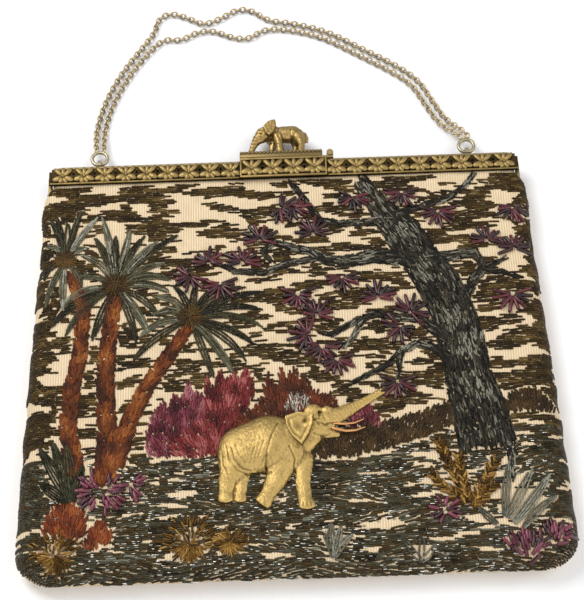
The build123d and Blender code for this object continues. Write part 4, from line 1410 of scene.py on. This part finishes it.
def addBar(target, x0, x1, y0, y1, z0, z1, rim=0.25):
    bar = bmesh.new()
    bmesh.ops.create_cube(bar, size=1.0)
    bmesh.ops.scale(bar, vec=(x1 - x0, y1 - y0, z1 - z0), verts=bar.verts[:])
    bmesh.ops.translate(bar, vec=((x0 + x1) / 2, (y0 + y1) / 2, (z0 + z1) / 2), verts=bar.verts[:])
    bmesh.ops.bevel(bar, geom=bar.edges[:], offset=rim, affect="EDGES", segments=2, profile=0.5,
                    material=-1)
    repeatShape(target, bar, toMetres)
    bar.free()


def flowerRow(name, row, material):
    bm = bmesh.new()
    for k in range(row["count"]):
        x = (k - (row["count"] - 1) / 2) * gallery["pitch"]
        if abs(x) > row["clear"]:
            addFlower(bm, x, gallery["middle"], row["face"], row["grow"])
    for border in row["borders"]:
        addBar(bm, *border)
    return makePiece(bm, name, material)


def makeGallery():
    strip = flowerRow("galleryFlowers", gallery["strip"], metalOf["flowerBrass"])
    plate = flowerRow("plateFlowers", gallery["plate"], metalOf["plateFlowerBrass"])
    bm = bmesh.new()
    # painted shade: a dark band behind the upper petals
    for band in gallery["ground"]:
        addBar(bm, *band, gallery["shadeBandRim"])
    ground = makePiece(bm, "galleryShadeBand", metalOf["galleryBrass"], False)
    for piece in (strip, plate, ground):
        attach(piece, "front_half")


makeGallery()


# lift bar with one row of beads and the tab to its pin
liftBar = {"left": -17.0, "right": 15.4, "low": 90.3, "high": 93.3, "back": 1.2, "front": 12.0, "rim": 0.4,
           "beads": 22, "bead": 1.5, "beadDrop": 0.8, "beadSink": 0.1,
           "tab": (14.4, 17.4, 91.6, 92.8, 6.4, 8.3)}


def makeLiftBar():
    bm = bmesh.new()
    left, right = liftBar["left"], liftBar["right"]
    high, front = liftBar["high"], liftBar["front"]
    addBar(bm, left, right, liftBar["low"], high, liftBar["back"], front, liftBar["rim"])
    addBar(bm, *liftBar["tab"])
    step = (right - left) / liftBar["beads"]
    for k in range(liftBar["beads"]):
        spot = Vector((left + (k + 0.5) * step, high - liftBar["beadDrop"], front - liftBar["beadSink"]))
        repeatShape(bm, grain, toMetres @ Matrix.Translation(spot) @ Matrix.Scale(liftBar["bead"], 4))
    piece = makePiece(bm, "liftBar", metalOf["barBrass"])
    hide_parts("clasp_bar")
    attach(piece, "clasp")


makeLiftBar()


# rings at the chain's ends
ring = {"x": 72.8, "y": 97.8, "z": 3.9, "radius": 3.05, "wire": 0.7, "sides": 12, "steps": 40}


def makeRings():
    bm = bmesh.new()
    hoop = hoopShape(ring["radius"], ring["wire"], ring["sides"], ring["steps"])
    for side in (-1, 1):
        repeatShape(bm, hoop, toMetres @ Matrix.Translation((side * ring["x"], ring["y"], ring["z"])))
    hoop.free()
    piece = makePiece(bm, "carryRings", metalOf["ringMetal"])
    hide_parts("carry_rings")
    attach(piece, "back_half")


makeRings()
for node, name in (
    ("front_rail", "antiqueBrass"), ("back_rail", "backBrass"), ("back_gallery", "backBrass"),
    ("front_gallery", "galleryBrass"), ("hinge_pins", "antiqueBrass"), ("ring_lugs", "ringMetal"),
    ("clasp_plate", "plateBrass"), ("clasp_bracket", "antiqueBrass"), ("clasp_pin", "antiqueBrass"),
):
    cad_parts[node].data.materials.clear()
    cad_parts[node].data.materials.append(metalOf[name])
print("frame dressed")


# pale floor and soft studio light
studio = {
    "floor": (246, 246, 247), "floorHalf": 3.0, "floorRough": 0.8, "world": 0.4, "aim": (0, 0.03, 0),
    "lamps": [  # name, place, size and watts
        ("keyLight", (-0.5, 0.45, 0.9), 0.6, 8.2), ("fillLight", (0.7, -0.1, 0.8), 0.8, 3.8),
        ("frontLight", (0.0, -0.7, 0.6), 0.6, 2.2),
    ],
}


def makeFloor():
    bm = bmesh.new()
    bmesh.ops.create_grid(bm, x_segments=1, y_segments=1, size=studio["floorHalf"])
    material, _, shader = newMaterial("paleFloor")
    setInputs(shader, {"Base Color": paint(*studio["floor"]), "Roughness": studio["floorRough"]})
    makePiece(bm, "floor", material, False)


def makeWorld():  # soft light on the bag, white where it is seen straight, in metal or through glass
    world = bpy.data.worlds.new("studio")
    world.use_nodes = True
    tree = world.node_tree
    glow = tree.nodes["Background"]
    setInputs(glow, {"Color": (1, 1, 1, 1), "Strength": studio["world"]})
    seen = addNode(tree, "Background", {"Color": (1, 1, 1, 1), "Strength": 1.0})
    rays = addNode(tree, "LightPath")
    either = addNode(tree, "MixShader")
    straight = addNode(tree, "Math", operation="MAXIMUM")
    mirrored = addNode(tree, "Math", operation="MAXIMUM")
    connect(
        tree,
        (rays, "Is Camera Ray", straight, 0), (rays, "Is Glossy Ray", straight, 1),
        (straight, 0, mirrored, 0), (rays, "Is Transmission Ray", mirrored, 1),
        (mirrored, 0, either, "Fac"), (glow, "Background", either, 1), (seen, "Background", either, 2),
        (either, "Shader", tree.nodes["World Output"], "Surface"),
    )
    bpy.context.scene.world = world


def makeLamps():
    for name, place, size, power in studio["lamps"]:
        data = bpy.data.lights.new(name, "AREA")
        data.size = size
        data.energy = power
        lamp = bpy.data.objects.new(name, data)
        lamp.location = place
        lamp.rotation_euler = (Vector(studio["aim"]) - Vector(place)).to_track_quat("-Z", "Y").to_euler()
        bpy.context.scene.collection.objects.link(lamp)


makeFloor()
makeWorld()
makeLamps()
bpy.context.scene.view_settings.view_transform = "Standard"
for shape in (stitch, bugle, petal, grain):
    shape.free()
bpy.data.meshes.remove(carrier)
print("studio lit")
